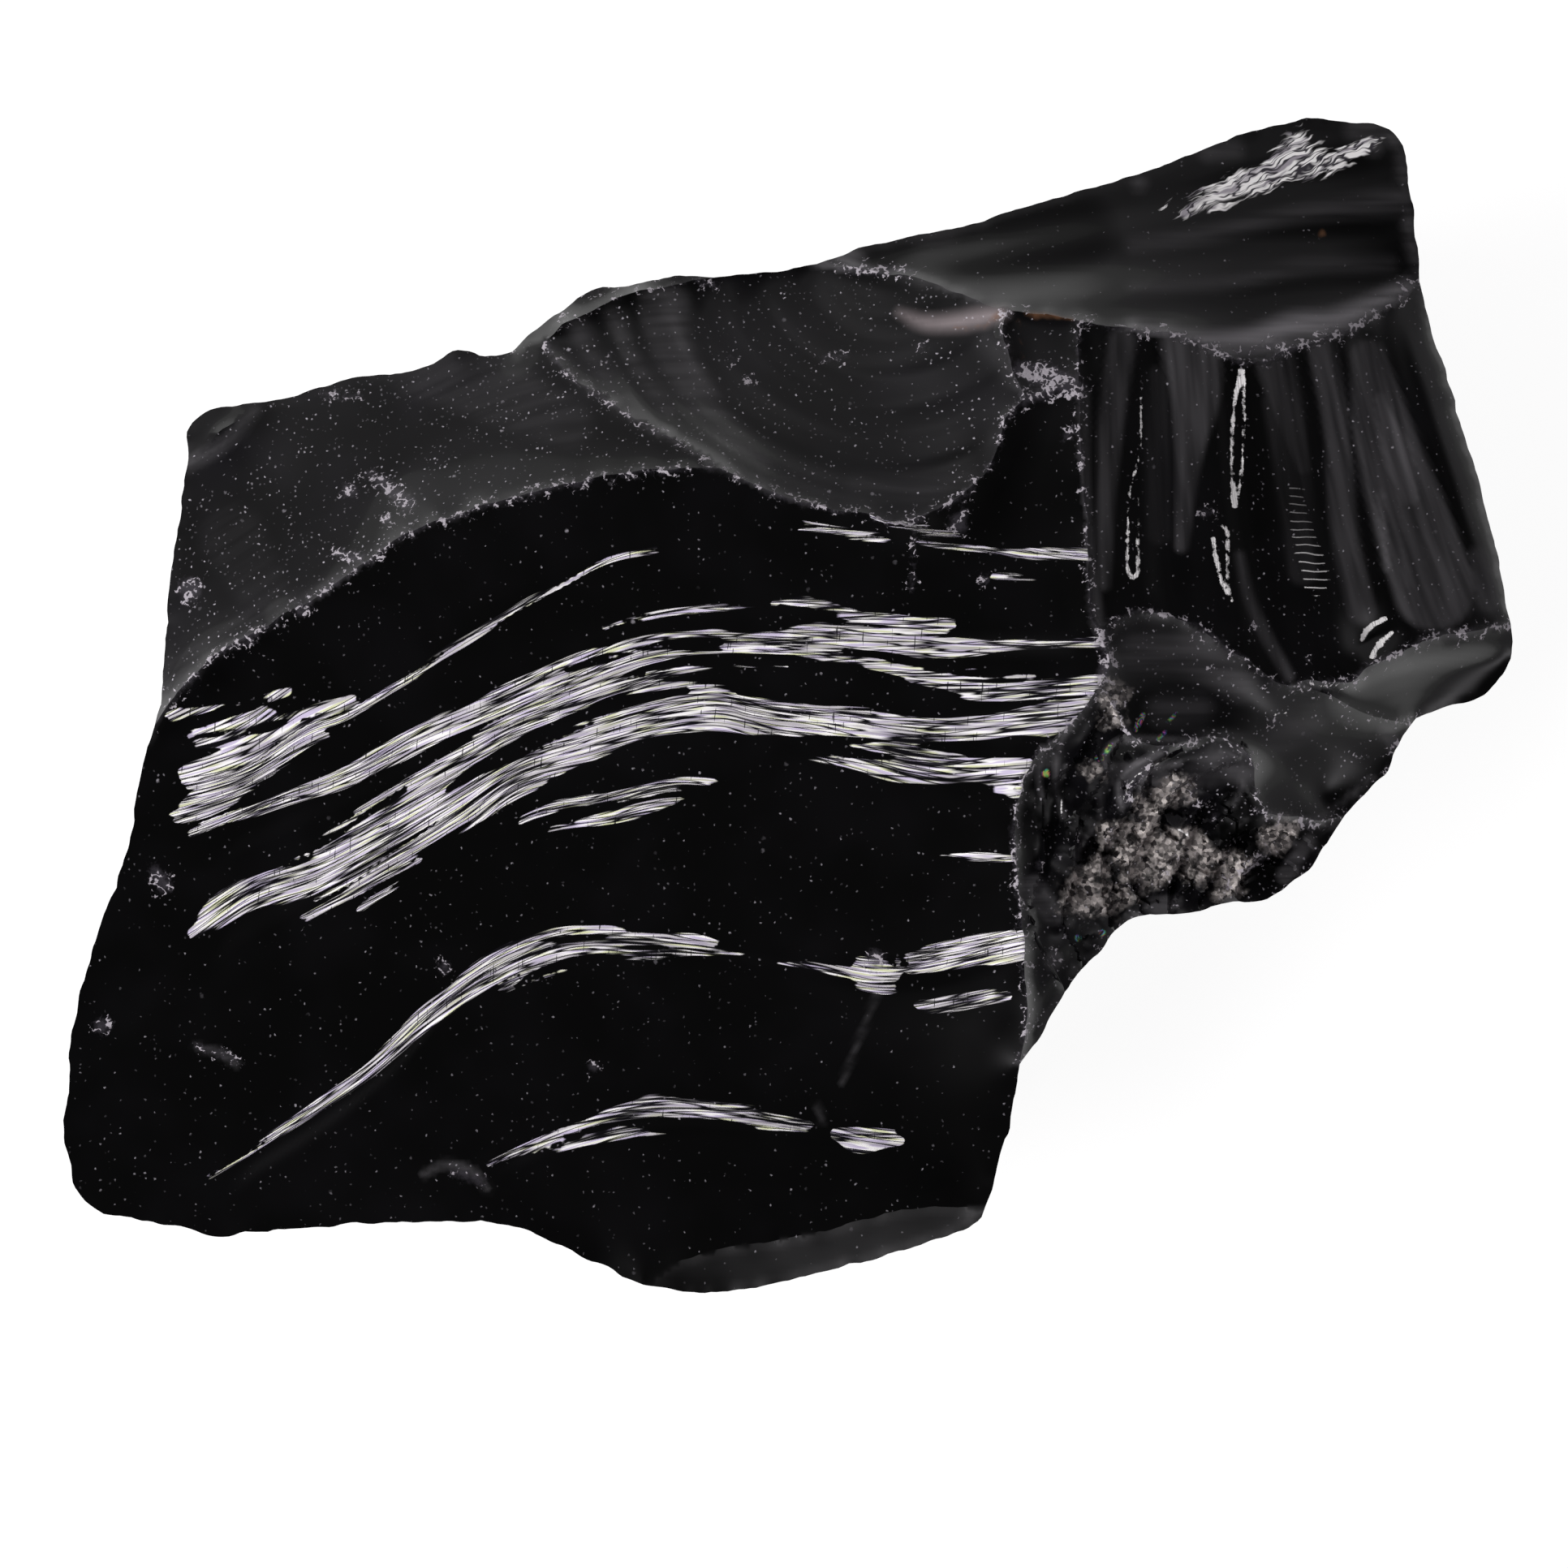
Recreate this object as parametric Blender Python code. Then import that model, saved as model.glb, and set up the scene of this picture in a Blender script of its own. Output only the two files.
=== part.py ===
"""A chunk of obsidian, lying on its flat underside.

The stone is drawn as a net of ridges. A ridge is a smooth line through a few points, and each face is a
film stretched between the ridges round it, hollowed a little as a shell-shaped break is. Low steps, flutes,
ledges and pits are added to the faces, and the flanks lean in from the rim to the underside.
Sizes in the tables are millimetres: x to the right, y to the back, z up from the underside.
"""

import bpy
import numpy as np
from mathutils.geometry import delaunay_2d_cdt

NODE_NAME = "obsidian_chunk"
MM = 0.001
POINT_SPACING = 1.15  # between neighbouring points of the mesh
RIDGE_CLEARANCE = 0.62  # face points keep this share of the spacing from a ridge
STONE_CENTRE = (-0.7, 1.2)  # the flanks lean towards the upright line through this point

GLASS_COLOUR = (0.004, 0.004, 0.005, 1.0)
GLASS_ROUGHNESS = 0.08

# Ridges: (x, y, z). Those named rim_ follow one another clockwise round the stone, seen from above.
RIDGES = {
    "rim_left_top": [
        (-26.3, -1.4, 12.2), (-26.0, 0.1, 11.8), (-25.9, 2.6, 11.2), (-25.7, 5.4, 10.6),
        (-25.4, 7.8, 10.2), (-25.1, 10.1, 9.8),
    ],
    "rim_corner": [
        (-25.1, 10.1, 9.8), (-25.1, 11.4, 9.5), (-24.5, 12.1, 9.4), (-23.1, 12.4, 9.6),
        (-21.9, 12.5, 9.8),
    ],
    "rim_back_left": [
        (-21.9, 12.5, 9.8), (-19.3, 13.1, 10.2), (-18.0, 13.5, 10.4), (-15.9, 13.6, 10.8),
        (-15.2, 13.8, 11.0), (-14.4, 14.2, 11.1), (-13.8, 14.5, 11.2), (-13.3, 14.4, 11.2),
        (-12.5, 14.2, 11.3), (-11.5, 14.4, 11.4),
    ],
    "rim_back_step": [
        (-11.5, 14.4, 11.4), (-10.6, 15.3, 11.4), (-9.1, 16.4, 11.5), (-7.8, 17.0, 11.7),
        (-6.1, 17.2, 11.9), (-4.7, 17.5, 12.0), (-3.1, 17.4, 12.2),
    ],
    "rim_back_middle": [
        (-3.1, 17.4, 12.2), (-1.9, 17.5, 12.2), (-0.4, 17.7, 12.1), (1.2, 18.0, 12.0),
    ],
    "rim_back_right": [
        (1.2, 18.0, 12.0), (3.0, 18.7, 11.9), (5.0, 19.1, 11.8), (7.7, 19.8, 11.6), (11.1, 20.9, 11.3),
        (14.6, 21.9, 11.0), (18.0, 23.3, 10.7), (20.0, 24.0, 10.5), (21.9, 24.4, 10.4), (23.6, 24.3, 10.4),
        (24.9, 24.1, 10.4), (25.5, 23.7, 10.5), (25.9, 22.8, 10.7), (26.1, 20.7, 11.0), (26.3, 18.9, 11.2),
        (26.4, 17.4, 11.2),
    ],
    "rim_right": [
        (26.4, 17.4, 11.2), (26.8, 15.6, 11.8), (27.4, 13.5, 12.2), (28.0, 11.4, 12.4),
        (28.8, 8.5, 12.4), (29.5, 6.0, 12.2), (29.8, 4.3, 12.0), (30.1, 2.9, 11.6),
    ],
    "rim_slab": [
        (30.1, 2.9, 11.6), (30.2, 1.9, 11.2), (29.8, 0.8, 10.8), (28.8, -0.1, 10.5),
        (27.4, -0.5, 10.4), (26.2, -0.9, 10.4),
    ],
    "rim_lobe": [
        (26.2, -0.9, 10.4), (25.6, -1.7, 10.6), (25.1, -2.9, 10.8), (24.4, -3.8, 10.9), (23.2, -5.0, 10.9),
    ],
    "rim_notch": [
        (23.2, -5.0, 10.9), (22.5, -6.1, 11.0), (21.9, -7.1, 11.1), (21.0, -7.9, 11.2), (19.9, -8.5, 11.4),
        (17.9, -8.9, 11.6), (16.6, -9.2, 11.8), (15.4, -9.3, 11.9), (14.4, -9.4, 12.0), (13.6, -10.0, 12.1),
        (12.8, -10.9, 12.2), (11.8, -12.0, 12.3), (11.1, -13.2, 12.3), (10.4, -14.4, 12.2),
        (9.6, -15.5, 12.0),
    ],
    "rim_front_right": [
        (9.6, -15.5, 12.0), (9.3, -17.3, 11.7), (8.9, -19.0, 11.3), (8.6, -20.3, 11.0),
        (8.2, -21.3, 10.8),
    ],
    "rim_front_bevel": [
        (8.2, -21.3, 10.8), (7.8, -22.0, 10.6), (6.4, -22.6, 10.3), (3.7, -23.4, 10.1), (1.8, -23.9, 10.0),
        (0.0, -24.4, 9.9), (-1.7, -24.7, 9.8), (-3.8, -24.8, 9.7), (-6.0, -24.5, 9.6),
    ],
    "rim_front_left": [
        (-6.0, -24.5, 9.6), (-8.0, -23.6, 10.2), (-9.5, -22.9, 10.5), (-10.8, -22.3, 10.7),
        (-12.5, -22.0, 10.9), (-14.6, -21.9, 10.9), (-17.6, -22.0, 10.5), (-20.3, -22.2, 10.0),
        (-22.7, -22.4, 9.6), (-24.0, -22.5, 9.3), (-25.1, -22.1, 9.2), (-26.8, -21.8, 9.0),
        (-28.5, -21.5, 8.8),
    ],
    "rim_left": [
        (-28.5, -21.5, 8.8), (-29.4, -20.8, 8.7), (-29.9, -19.6, 8.7), (-30.2, -18.2, 8.8),
        (-30.0, -16.4, 9.0), (-29.9, -14.4, 9.3), (-29.6, -12.7, 9.6), (-29.1, -11.1, 10.0),
        (-28.6, -9.6, 10.4), (-27.9, -7.8, 10.8), (-27.4, -6.3, 11.2), (-27.1, -4.4, 11.6),
        (-26.8, -3.1, 12.0), (-26.3, -1.4, 12.2),
    ],
    "crest_left": [
        (-26.3, -1.4, 12.2), (-25.4, -0.1, 12.7), (-24.4, 0.8, 13.2), (-22.9, 1.9, 13.8),
        (-21.7, 2.5, 14.2), (-20.8, 3.0, 14.5), (-19.6, 3.6, 14.8), (-19.1, 3.9, 14.9),
        (-17.4, 5.0, 15.5), (-15.6, 6.2, 16.1), (-14.0, 6.7, 16.4), (-12.4, 7.3, 16.8),
        (-9.7, 7.9, 17.2), (-7.0, 8.4, 17.5), (-4.7, 8.6, 17.8), (-2.8, 8.6, 18.0),
    ],
    "scar_left": [
        (-2.8, 8.6, 18.0), (-4.0, 9.5, 17.2), (-5.7, 10.5, 16.2), (-7.1, 11.5, 15.3),
        (-8.3, 12.5, 14.4), (-9.3, 13.4, 13.6), (-10.1, 14.7, 12.4),
    ],
    "scar_front": [
        (-2.8, 8.6, 18.0), (-0.7, 7.7, 18.0), (1.0, 7.1, 18.0), (2.6, 6.8, 18.0), (4.6, 6.4, 18.0),
        (6.0, 6.8, 18.0), (7.2, 7.5, 17.9), (7.7, 8.0, 17.9), (8.3, 8.8, 17.8), (8.8, 10.2, 17.7),
        (9.3, 11.1, 17.6), (9.8, 11.6, 17.5),
    ],
    "scar_right": [
        (9.8, 11.6, 17.5), (9.4, 12.5, 17.2), (9.1, 13.3, 17.0), (8.8, 14.5, 16.7),
        (9.1, 15.4, 16.4),
    ],
    "scar_back": [
        (9.1, 15.4, 16.4), (8.2, 15.7, 15.8), (7.0, 16.4, 15.0), (5.3, 17.1, 13.9),
        (3.7, 17.5, 13.0), (1.2, 18.0, 12.0),
    ],
    "step_a": [
        (-11.5, 14.4, 11.4), (-10.8, 14.6, 11.9), (-10.1, 14.7, 12.4),
    ],
    "step_b": [
        (-10.1, 14.7, 12.4), (-9.1, 15.5, 12.5), (-7.4, 16.3, 12.5), (-6.4, 16.7, 12.5),
        (-5.1, 17.0, 12.4), (-3.1, 17.4, 12.2),
    ],
    "corner_chip": [
        (-25.1, 10.1, 9.8), (-24.2, 10.8, 10.3), (-23.2, 11.5, 10.3), (-21.9, 12.5, 9.8),
    ],
    "crushed_top": [
        (9.8, 11.6, 17.5), (10.6, 11.8, 17.5), (11.4, 12.2, 17.5), (12.0, 11.9, 17.6),
    ],
    "spur_top": [
        (12.0, 14.9, 16.8), (11.9, 13.3, 17.2), (12.0, 11.9, 17.6),
    ],
    "nick_top": [
        (9.1, 15.4, 16.4), (10.6, 15.2, 16.6), (12.0, 14.9, 16.8),
    ],
    "spur_upper": [
        (12.0, 11.9, 17.6), (12.1, 9.1, 17.9), (12.2, 7.1, 18.0), (12.3, 5.1, 18.1),
        (12.4, 2.9, 18.1), (12.9, 1.5, 18.0),
    ],
    "spur_knee": [
        (12.9, 1.5, 18.0), (13.2, 0.6, 17.9), (12.8, -0.4, 17.8),
    ],
    "spur_lower": [
        (12.8, -0.4, 17.8), (12.0, -1.5, 17.6), (11.0, -2.5, 17.4), (10.2, -3.3, 17.2),
        (9.7, -4.1, 17.0), (9.4, -5.2, 16.8), (9.3, -6.8, 16.5), (9.5, -8.7, 15.8),
        (9.8, -12.0, 14.4), (9.8, -13.9, 13.2), (9.6, -15.5, 12.0),
    ],
    "wing_front": [
        (12.0, 14.9, 16.8), (14.3, 14.6, 16.5), (16.0, 14.4, 16.2), (17.3, 14.1, 15.9),
        (18.1, 13.6, 15.7), (19.0, 13.3, 15.5), (19.8, 13.5, 15.3), (21.1, 14.1, 14.9),
        (22.8, 14.7, 14.2), (24.5, 15.7, 13.0), (26.4, 17.4, 11.2),
    ],
    "lobe_top": [
        (12.9, 1.5, 18.0), (13.3, 2.2, 17.9), (14.3, 2.8, 17.5), (15.6, 2.7, 17.0),
        (17.0, 2.1, 16.5), (18.0, 1.5, 16.1), (19.0, 0.8, 15.8), (20.0, 0.1, 15.5),
        (20.8, -0.1, 15.2),
    ],
    "slab_top": [
        (20.8, -0.1, 15.2), (21.5, 0.2, 15.1), (22.4, 0.1, 14.8), (23.3, 0.2, 14.6),
        (23.9, 0.8, 14.5), (24.6, 1.1, 14.4), (25.6, 1.6, 14.1), (26.7, 2.1, 13.7),
        (28.1, 2.4, 13.0), (29.3, 2.7, 12.3), (30.1, 2.9, 11.6),
    ],
    "slab_front": [
        (20.8, -0.1, 15.2), (21.7, -0.2, 14.8), (22.8, -0.5, 14.2), (24.2, -1.0, 12.6),
        (25.3, -1.1, 11.4), (26.2, -0.9, 10.4),
    ],
    "lobe_front": [
        (12.8, -0.4, 17.8), (13.5, -1.3, 17.2), (14.1, -2.3, 16.9), (15.2, -2.7, 16.5), (16.5, -2.4, 16.1),
        (17.6, -2.2, 15.7), (18.7, -2.6, 15.2), (19.2, -3.3, 14.7), (19.4, -4.3, 13.9), (20.0, -5.1, 13.2),
        (21.2, -5.2, 12.2), (22.3, -5.3, 11.5), (23.2, -5.0, 10.9),
    ],
    "front_bevel": [
        (-6.0, -24.5, 9.6), (-5.0, -23.8, 10.2), (-4.1, -23.5, 10.6), (-2.4, -23.0, 10.9),
        (1.0, -22.5, 11.1), (3.0, -21.9, 11.3), (5.0, -21.5, 11.4), (6.4, -21.4, 11.3),
        (8.2, -21.3, 10.8),
    ],
}

RIM = [
    "rim_left_top", "rim_corner", "rim_back_left", "rim_back_step", "rim_back_middle",
    "rim_back_right", "rim_right", "rim_slab", "rim_lobe", "rim_notch", "rim_front_right",
    "rim_front_bevel", "rim_front_left", "rim_left",
]

# Faces: the ridges in order round each one (a minus sign walks a ridge backwards), how deep the face
# is hollowed, and how far in from its edge it reaches most of that depth.
FACES = {
    "main": {
        "edge": "crest_left scar_front crushed_top spur_upper spur_knee spur_lower rim_front_right "
                "-front_bevel rim_front_left rim_left",
        "hollow": 0.35, "reach": 5.0,
    },
    "left": {
        "edge": "crest_left scar_left -step_a -rim_back_left -corner_chip -rim_left_top",
        "hollow": 0.5, "reach": 2.5,
    },
    "corner": {"edge": "rim_corner -corner_chip", "hollow": 0.0, "reach": 1.0},
    "step": {"edge": "rim_back_step -step_b -step_a", "hollow": 0.15, "reach": 1.0},
    "scar": {
        "edge": "-scar_left scar_front scar_right scar_back -rim_back_middle -step_b",
        "hollow": 1.7, "reach": 2.6,
    },
    "nick": {"edge": "-scar_right crushed_top -spur_top -nick_top", "hollow": 0.5, "reach": 0.9},
    "wing": {"edge": "rim_back_right -wing_front -nick_top scar_back", "hollow": 0.4, "reach": 2.5},
    "fluted": {
        "edge": "spur_top spur_upper lobe_top slab_top -rim_right -wing_front",
        "hollow": 0.0, "reach": 1.3, "own": {"rim_right": -1.5},
    },
    "lobe": {
        "edge": "lobe_top slab_front rim_lobe -lobe_front -spur_knee",
        "hollow": 0.75, "reach": 1.6,
    },
    "slab": {"edge": "slab_top rim_slab -slab_front", "hollow": 0.0, "reach": 1.0},
    "crushed": {"edge": "lobe_front rim_notch -spur_lower", "hollow": 0.9, "reach": 1.4},
    "bevel": {"edge": "front_bevel rim_front_bevel", "hollow": 0.1, "reach": 1.0},
}

# Long low steps in the main face: the line each follows (x, y), its drop to the back, and its width.
MAIN_STEPS = [
    {"line": [(-19.5, -2.4), (-15.7, -0.1), (-12.4, 2.2), (-9.0, 4.1), (-5.5, 5.4)], "drop": 0.10, "width": 0.8},
    {
        "line": [(-24.2, -6.9), (-18.0, -4.4), (-12.3, -1.4), (-9.0, 0.3), (-5.7, 1.3), (-1.0, 1.8),
                 (4.3, 1.5), (13.0, 1.2)],
        "drop": 0.34, "width": 1.7,
    },
    {
        "line": [(-24.5, -10.9), (-19.0, -7.8), (-15.7, -5.7), (-12.4, -3.3), (-9.0, -1.8), (-5.7, -1.1),
                 (-2.4, -1.1), (4.3, -2.0), (12.0, -1.6)],
        "drop": 0.42, "width": 2.2,
    },
    {"line": [(-1.0, -2.6), (3.0, -3.1), (5.0, -3.7), (9.7, -3.6)], "drop": 0.16, "width": 1.1},
    {"line": [(-10.7, -6.0), (-8.0, -5.0), (-3.4, -4.2)], "drop": 0.16, "width": 1.0},
    {
        "line": [(-23.7, -20.6), (-19.2, -17.8), (-16.1, -15.3), (-14.1, -13.1), (-11.8, -11.8),
                 (-9.1, -10.6), (-5.7, -10.6), (4.3, -11.9), (9.8, -10.9)],
        "drop": 0.28, "width": 1.4,
    },
    {"line": [(-12.5, -20.0), (-9.1, -18.6), (-5.7, -17.9), (-2.4, -17.9), (4.7, -18.6)], "drop": 0.2,
     "width": 1.1},
]
STEP_RETURN = 6.0  # a step's drop is made up again over this width
STEP_END = 1.6  # and it fades out over this length at its ends

FLUTE_FOOT = (13.0, 14.0)  # where the flutes of the right face start, and the height they fan from
FLUTE_FAN = 0.021
FLUTE_WAVES = [{"length": 3.1, "depth": 0.08, "shift": 0.4}, {"length": 1.45, "depth": 0.03, "shift": 2.0}]

SCAR_ORIGIN = (4.3, 18.4)  # the blow that took off the back scar
SCAR_RING = {"length": 2.1, "depth": 0.05}

CRUSH_CENTRE = (20.0, -8.5)
CRUSH_TERRACE = {"length": 1.4, "depth": 0.7}
CRUSH_LUMP = {"length": 2.6, "depth": 0.2}

SLAB_LEDGE = {"line": [(20.0, -0.3), (22.8, 0.0), (25.7, 1.1), (30.5, 1.9)], "drop": 0.9, "width": 0.9}

PITS = {
    "lobe": [{"at": (22.4, -4.3), "across": 1.3, "depth": 0.5}, {"at": (21.6, -3.0), "across": 3.0, "depth": 0.4}],
    "fluted": [{"at": (24.2, 2.0), "across": 1.5, "depth": 0.5}],
    "left": [{"at": (-16.5, 8.8), "across": 1.6, "depth": 0.18}],
    "main": [{"at": (-25.6, -8.6), "across": 1.4, "depth": 0.12}, {"at": (-28.0, -13.4), "across": 1.6, "depth": 0.14}],
}
RELIEF_EDGE = 0.9  # relief grows to full strength this far in from the ridges

# Flanks: how far the underside reaches out, as a share of the rim's distance from the centre, by compass
# angle in degrees from +x.
FOOT_SHARE = [(0, 0.95), (20, 0.90), (41, 0.95), (70, 0.88), (105, 0.84), (135, 0.89), (160, 0.95),
              (190, 0.86), (219, 0.95), (243, 0.86), (266, 0.94), (290, 0.87), (315, 0.92), (338, 0.86)]
FOOT_BLUR_DEG = 11.0  # the underside's outline is the rim's, smoothed over this angle
LEAN_START = 0.8  # share of the lean that is even; the rest grows towards the foot
FLANK_ROWS = 12

# Shell-shaped scars on the flanks: middle and half width in degrees, middle and half height as shares of
# the way down, and depth in mm. Where two of them meet, a ridge is left.
FLANK_SCARS = [
    (8, 26, 0.30, 0.75, 2.2), (20, 15, 0.85, 0.50, 2.0), (44, 16, 0.45, 0.90, 2.4), (66, 15, 0.35, 0.60, 1.7),
    (75, 22, 0.95, 0.60, 2.2), (98, 21, 0.50, 0.80, 2.3), (118, 15, 0.90, 0.55, 1.6), (131, 20, 0.30, 0.65, 1.9),
    (152, 18, 0.80, 0.80, 2.3), (170, 19, 0.35, 0.60, 1.7), (190, 22, 0.75, 0.75, 2.2), (208, 18, 0.30, 0.70, 2.0),
    (226, 20, 0.80, 0.75, 2.3), (245, 17, 0.35, 0.75, 1.9), (263, 21, 0.85, 0.65, 2.1), (280, 18, 0.35, 0.80, 2.1),
    (299, 15, 0.80, 0.70, 1.6), (316, 17, 0.40, 0.85, 1.8), (338, 19, 0.65, 0.90, 2.3),
]
RIM_BAND = 0.32  # the scars start to bite over this share of the way down
# Smaller chips on the flanks, spread by the golden angle: how many, the least and the spread of their half
# widths in degrees, their half heights as shares of the way down, and their depths.
CHIPS = {"count": 26, "turn": 137.5, "width": (5.0, 4.5), "height": (0.14, 0.16), "depth": (0.5, 0.6)}


def smooth_line(points, spacing):
    """Points about spacing apart on the Catmull-Rom curve through points, with both ends kept."""
    knots = np.array(points, float)
    ends = np.vstack([2 * knots[0] - knots[1], knots, 2 * knots[-1] - knots[-2]])
    before, start, stop, after = ends[:-3, None], ends[1:-2, None], ends[2:-1, None], ends[3:, None]
    t = np.linspace(0, 1, 24, endpoint=False)[None, :, None]
    curve = 0.5 * (
        2 * start
        + (stop - before) * t
        + (2 * before - 5 * start + 4 * stop - after) * t**2
        + (3 * start - before - 3 * stop + after) * t**3
    )
    curve = np.vstack([curve.reshape(-1, knots.shape[1]), knots[-1:]])
    along = np.concatenate([[0], np.cumsum(np.hypot(*np.diff(curve[:, :2], axis=0).T))])
    count = max(2, int(round(along[-1] / spacing)) + 1)
    wanted = np.linspace(0, along[-1], count)
    return np.column_stack([np.interp(wanted, along, column) for column in curve.T])


def joined(lines, names):
    """The named lines end to end as one open run, each without its last point."""
    walks = [lines[name[1:]][::-1] if name.startswith("-") else lines[name] for name in names]
    return np.vstack([walk[:-1] for walk in walks])


def inside(points, outline):
    """True for each point that lies inside the outline, by counting the sides crossed to its right."""
    x, y = points[:, 0, None], points[:, 1, None]
    x0, y0 = outline[:, 0], outline[:, 1]
    x1, y1 = np.roll(x0, -1), np.roll(y0, -1)
    spans = (y0 > y) != (y1 > y)
    reach = x0 + (y - y0) * (x1 - x0) / np.where(y1 == y0, 1e-9, y1 - y0)
    return (spans & (x < reach)).sum(axis=1) % 2 == 1


def film(points, outline, values):
    """Mean value interpolation of the outline's values, and the distance from it near the edge."""
    dx = outline[None, :, 0] - points[:, 0, None]
    dy = outline[None, :, 1] - points[:, 1, None]
    r = np.hypot(dx, dy)
    next_dx, next_dy, next_r = np.roll(dx, -1, 1), np.roll(dy, -1, 1), np.roll(r, -1, 1)
    half_turn = (dx * next_dy - dy * next_dx) / (r * next_r + dx * next_dx + dy * next_dy)
    weight = (half_turn + np.roll(half_turn, 1, 1)) / r
    total = weight.sum(axis=1)
    return (weight @ values) / total[:, None], np.abs(2 / total)


def smooth_step(value):
    value = np.clip(value, 0, 1)
    return value * value * (3 - 2 * value)


def step_profile(x, y, step):
    """Falls by the drop as y passes the step's line, and is made up again over STEP_RETURN."""
    line = smooth_line(step["line"], 0.5)
    beyond = y - np.interp(x, line[:, 0], line[:, 1])
    ends = smooth_step((x - line[0, 0]) / STEP_END) * smooth_step((line[-1, 0] - x) / STEP_END)
    fall = smooth_step(beyond / step["width"] + 0.5) - smooth_step(beyond / STEP_RETURN + 0.5)
    return -step["drop"] * fall * ends


def pits_profile(x, y, pits):
    depth = np.zeros_like(x)
    for pit in pits:
        away = np.hypot(x - pit["at"][0], y - pit["at"][1]) / pit["across"]
        depth -= pit["depth"] * np.exp(-2 * away**2)
    return depth


def flute_profile(x, y):
    """Waves across the flutes, which fan out towards the front right."""
    foot_x, top_y = FLUTE_FOOT
    across = x - foot_x - FLUTE_FAN * (x - foot_x) * (top_y - y)
    waves = [w["depth"] * np.sin(2 * np.pi * across / w["length"] + w["shift"]) for w in FLUTE_WAVES]
    return sum(waves)


def ring_profile(x, y):
    """Rings about the point of the blow."""
    away = np.hypot(x - SCAR_ORIGIN[0], y - SCAR_ORIGIN[1])
    return SCAR_RING["depth"] * np.sin(2 * np.pi * away / SCAR_RING["length"])


def crush_profile(x, y):
    """Curved terraces with lumps on them."""
    away = np.hypot(x - CRUSH_CENTRE[0], y - CRUSH_CENTRE[1])
    tread = away / CRUSH_TERRACE["length"] + 0.25 * np.sin(x) * np.cos(1.3 * y)
    terrace = CRUSH_TERRACE["depth"] * (np.floor(tread) - tread + 0.5)
    turn = 2 * np.pi / CRUSH_LUMP["length"]
    lumps = np.sin(turn * (x + 0.4 * y)) * np.sin(turn * (y - 0.3 * x) + 1.0)
    return terrace + CRUSH_LUMP["depth"] * lumps


def ledge_profile(x, y):
    """Low in front of the ledge's line, level behind it."""
    line = smooth_line(SLAB_LEDGE["line"], 0.5)
    beyond = y - np.interp(x, line[:, 0], line[:, 1])
    return SLAB_LEDGE["drop"] * (smooth_step(beyond / SLAB_LEDGE["width"] + 0.5) - 1)


def relief(face, x, y):
    """What stands above or below the film of this face."""
    height = pits_profile(x, y, PITS.get(face, []))
    if face == "main":
        height = height + sum(step_profile(x, y, step) for step in MAIN_STEPS)
    if face == "fluted":
        height = height + flute_profile(x, y)
    if face == "scar":
        height = height + ring_profile(x, y)
    if face == "crushed":
        height = height + crush_profile(x, y)
    if face == "slab":
        height = height + ledge_profile(x, y)
    return height


def face_heights(points, lines):
    """The height of each point that lies off the ridges, from the face that it lies in."""
    heights = np.full(len(points), np.nan)
    for name, face in FACES.items():
        walk = face["edge"].split()
        outline = joined(lines, walk)
        own = face.get("own", {})
        hollow = np.concatenate([
            np.full(len(lines[ridge.lstrip("-")]) - 1, own.get(ridge.lstrip("-"), face["hollow"]))
            for ridge in walk
        ])
        here = inside(points, outline)
        x, y = points[here, 0], points[here, 1]
        values, away = film(points[here], outline, np.column_stack([outline[:, 2], hollow]))
        sag = values[:, 1] * (1 - np.exp(-away / face["reach"]))
        heights[here] = values[:, 0] - sag + relief(name, x, y) * np.minimum(1, away / RELIEF_EDGE)
    return heights


def triangles_in(points, sides):
    """Triangles that fill the outline given by the sides, with every side kept as an edge."""
    result = delaunay_2d_cdt(points[:, :2].tolist(), sides.tolist(), [], 1, 1e-5)
    source = np.array([origin[0] for origin in result[3]])
    return source[np.array(result[2])]


def lattice(outline, spacing):
    """Points on rows of equal triangles over the outline's box, kept where they lie inside it."""
    low, high = outline[:, :2].min(axis=0), outline[:, :2].max(axis=0)
    rows = np.arange(low[1], high[1], spacing * np.sqrt(3) / 2)
    columns = np.arange(low[0], high[0], spacing)
    x, y = np.meshgrid(columns, rows)
    x = x + spacing / 2 * (np.arange(len(rows)) % 2)[:, None]
    points = np.column_stack([x.ravel(), y.ravel()])
    return points[inside(points, outline)]


def top_sheet(lines):
    """The upper faces: (points, triangles, count of rim points, which come first)."""
    rim = joined(lines, RIM)
    inner_names = [name for name in lines if not name.startswith("rim_")]
    points = list(map(tuple, rim))
    index = {(round(p[0], 4), round(p[1], 4)): i for i, p in enumerate(points)}
    sides = [(i, (i + 1) % len(rim)) for i in range(len(rim))]
    for name in inner_names:
        walk = []
        for point in lines[name]:
            key = (round(point[0], 4), round(point[1], 4))
            if key not in index:
                index[key] = len(points)
                points.append(tuple(point))
            walk.append(index[key])
        sides += list(zip(walk[:-1], walk[1:]))
    ridges = np.array(points)
    field = lattice(rim, POINT_SPACING)
    gap = np.hypot(field[:, None, 0] - ridges[:, 0], field[:, None, 1] - ridges[:, 1]).min(axis=1)
    field = field[gap > RIDGE_CLEARANCE * POINT_SPACING]
    field = np.column_stack([field, face_heights(field, lines)])
    everything = np.vstack([ridges, field])
    return everything, triangles_in(everything, np.array(sides)), len(rim)


def round_blur(angles, values, width):
    """The values smoothed over width degrees round the circle."""
    turn = (angles[:, None] - angles[None, :] + 180) % 360 - 180
    weight = np.exp(-((turn / width) ** 2))
    return (weight @ values) / weight.sum(axis=1)


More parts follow.
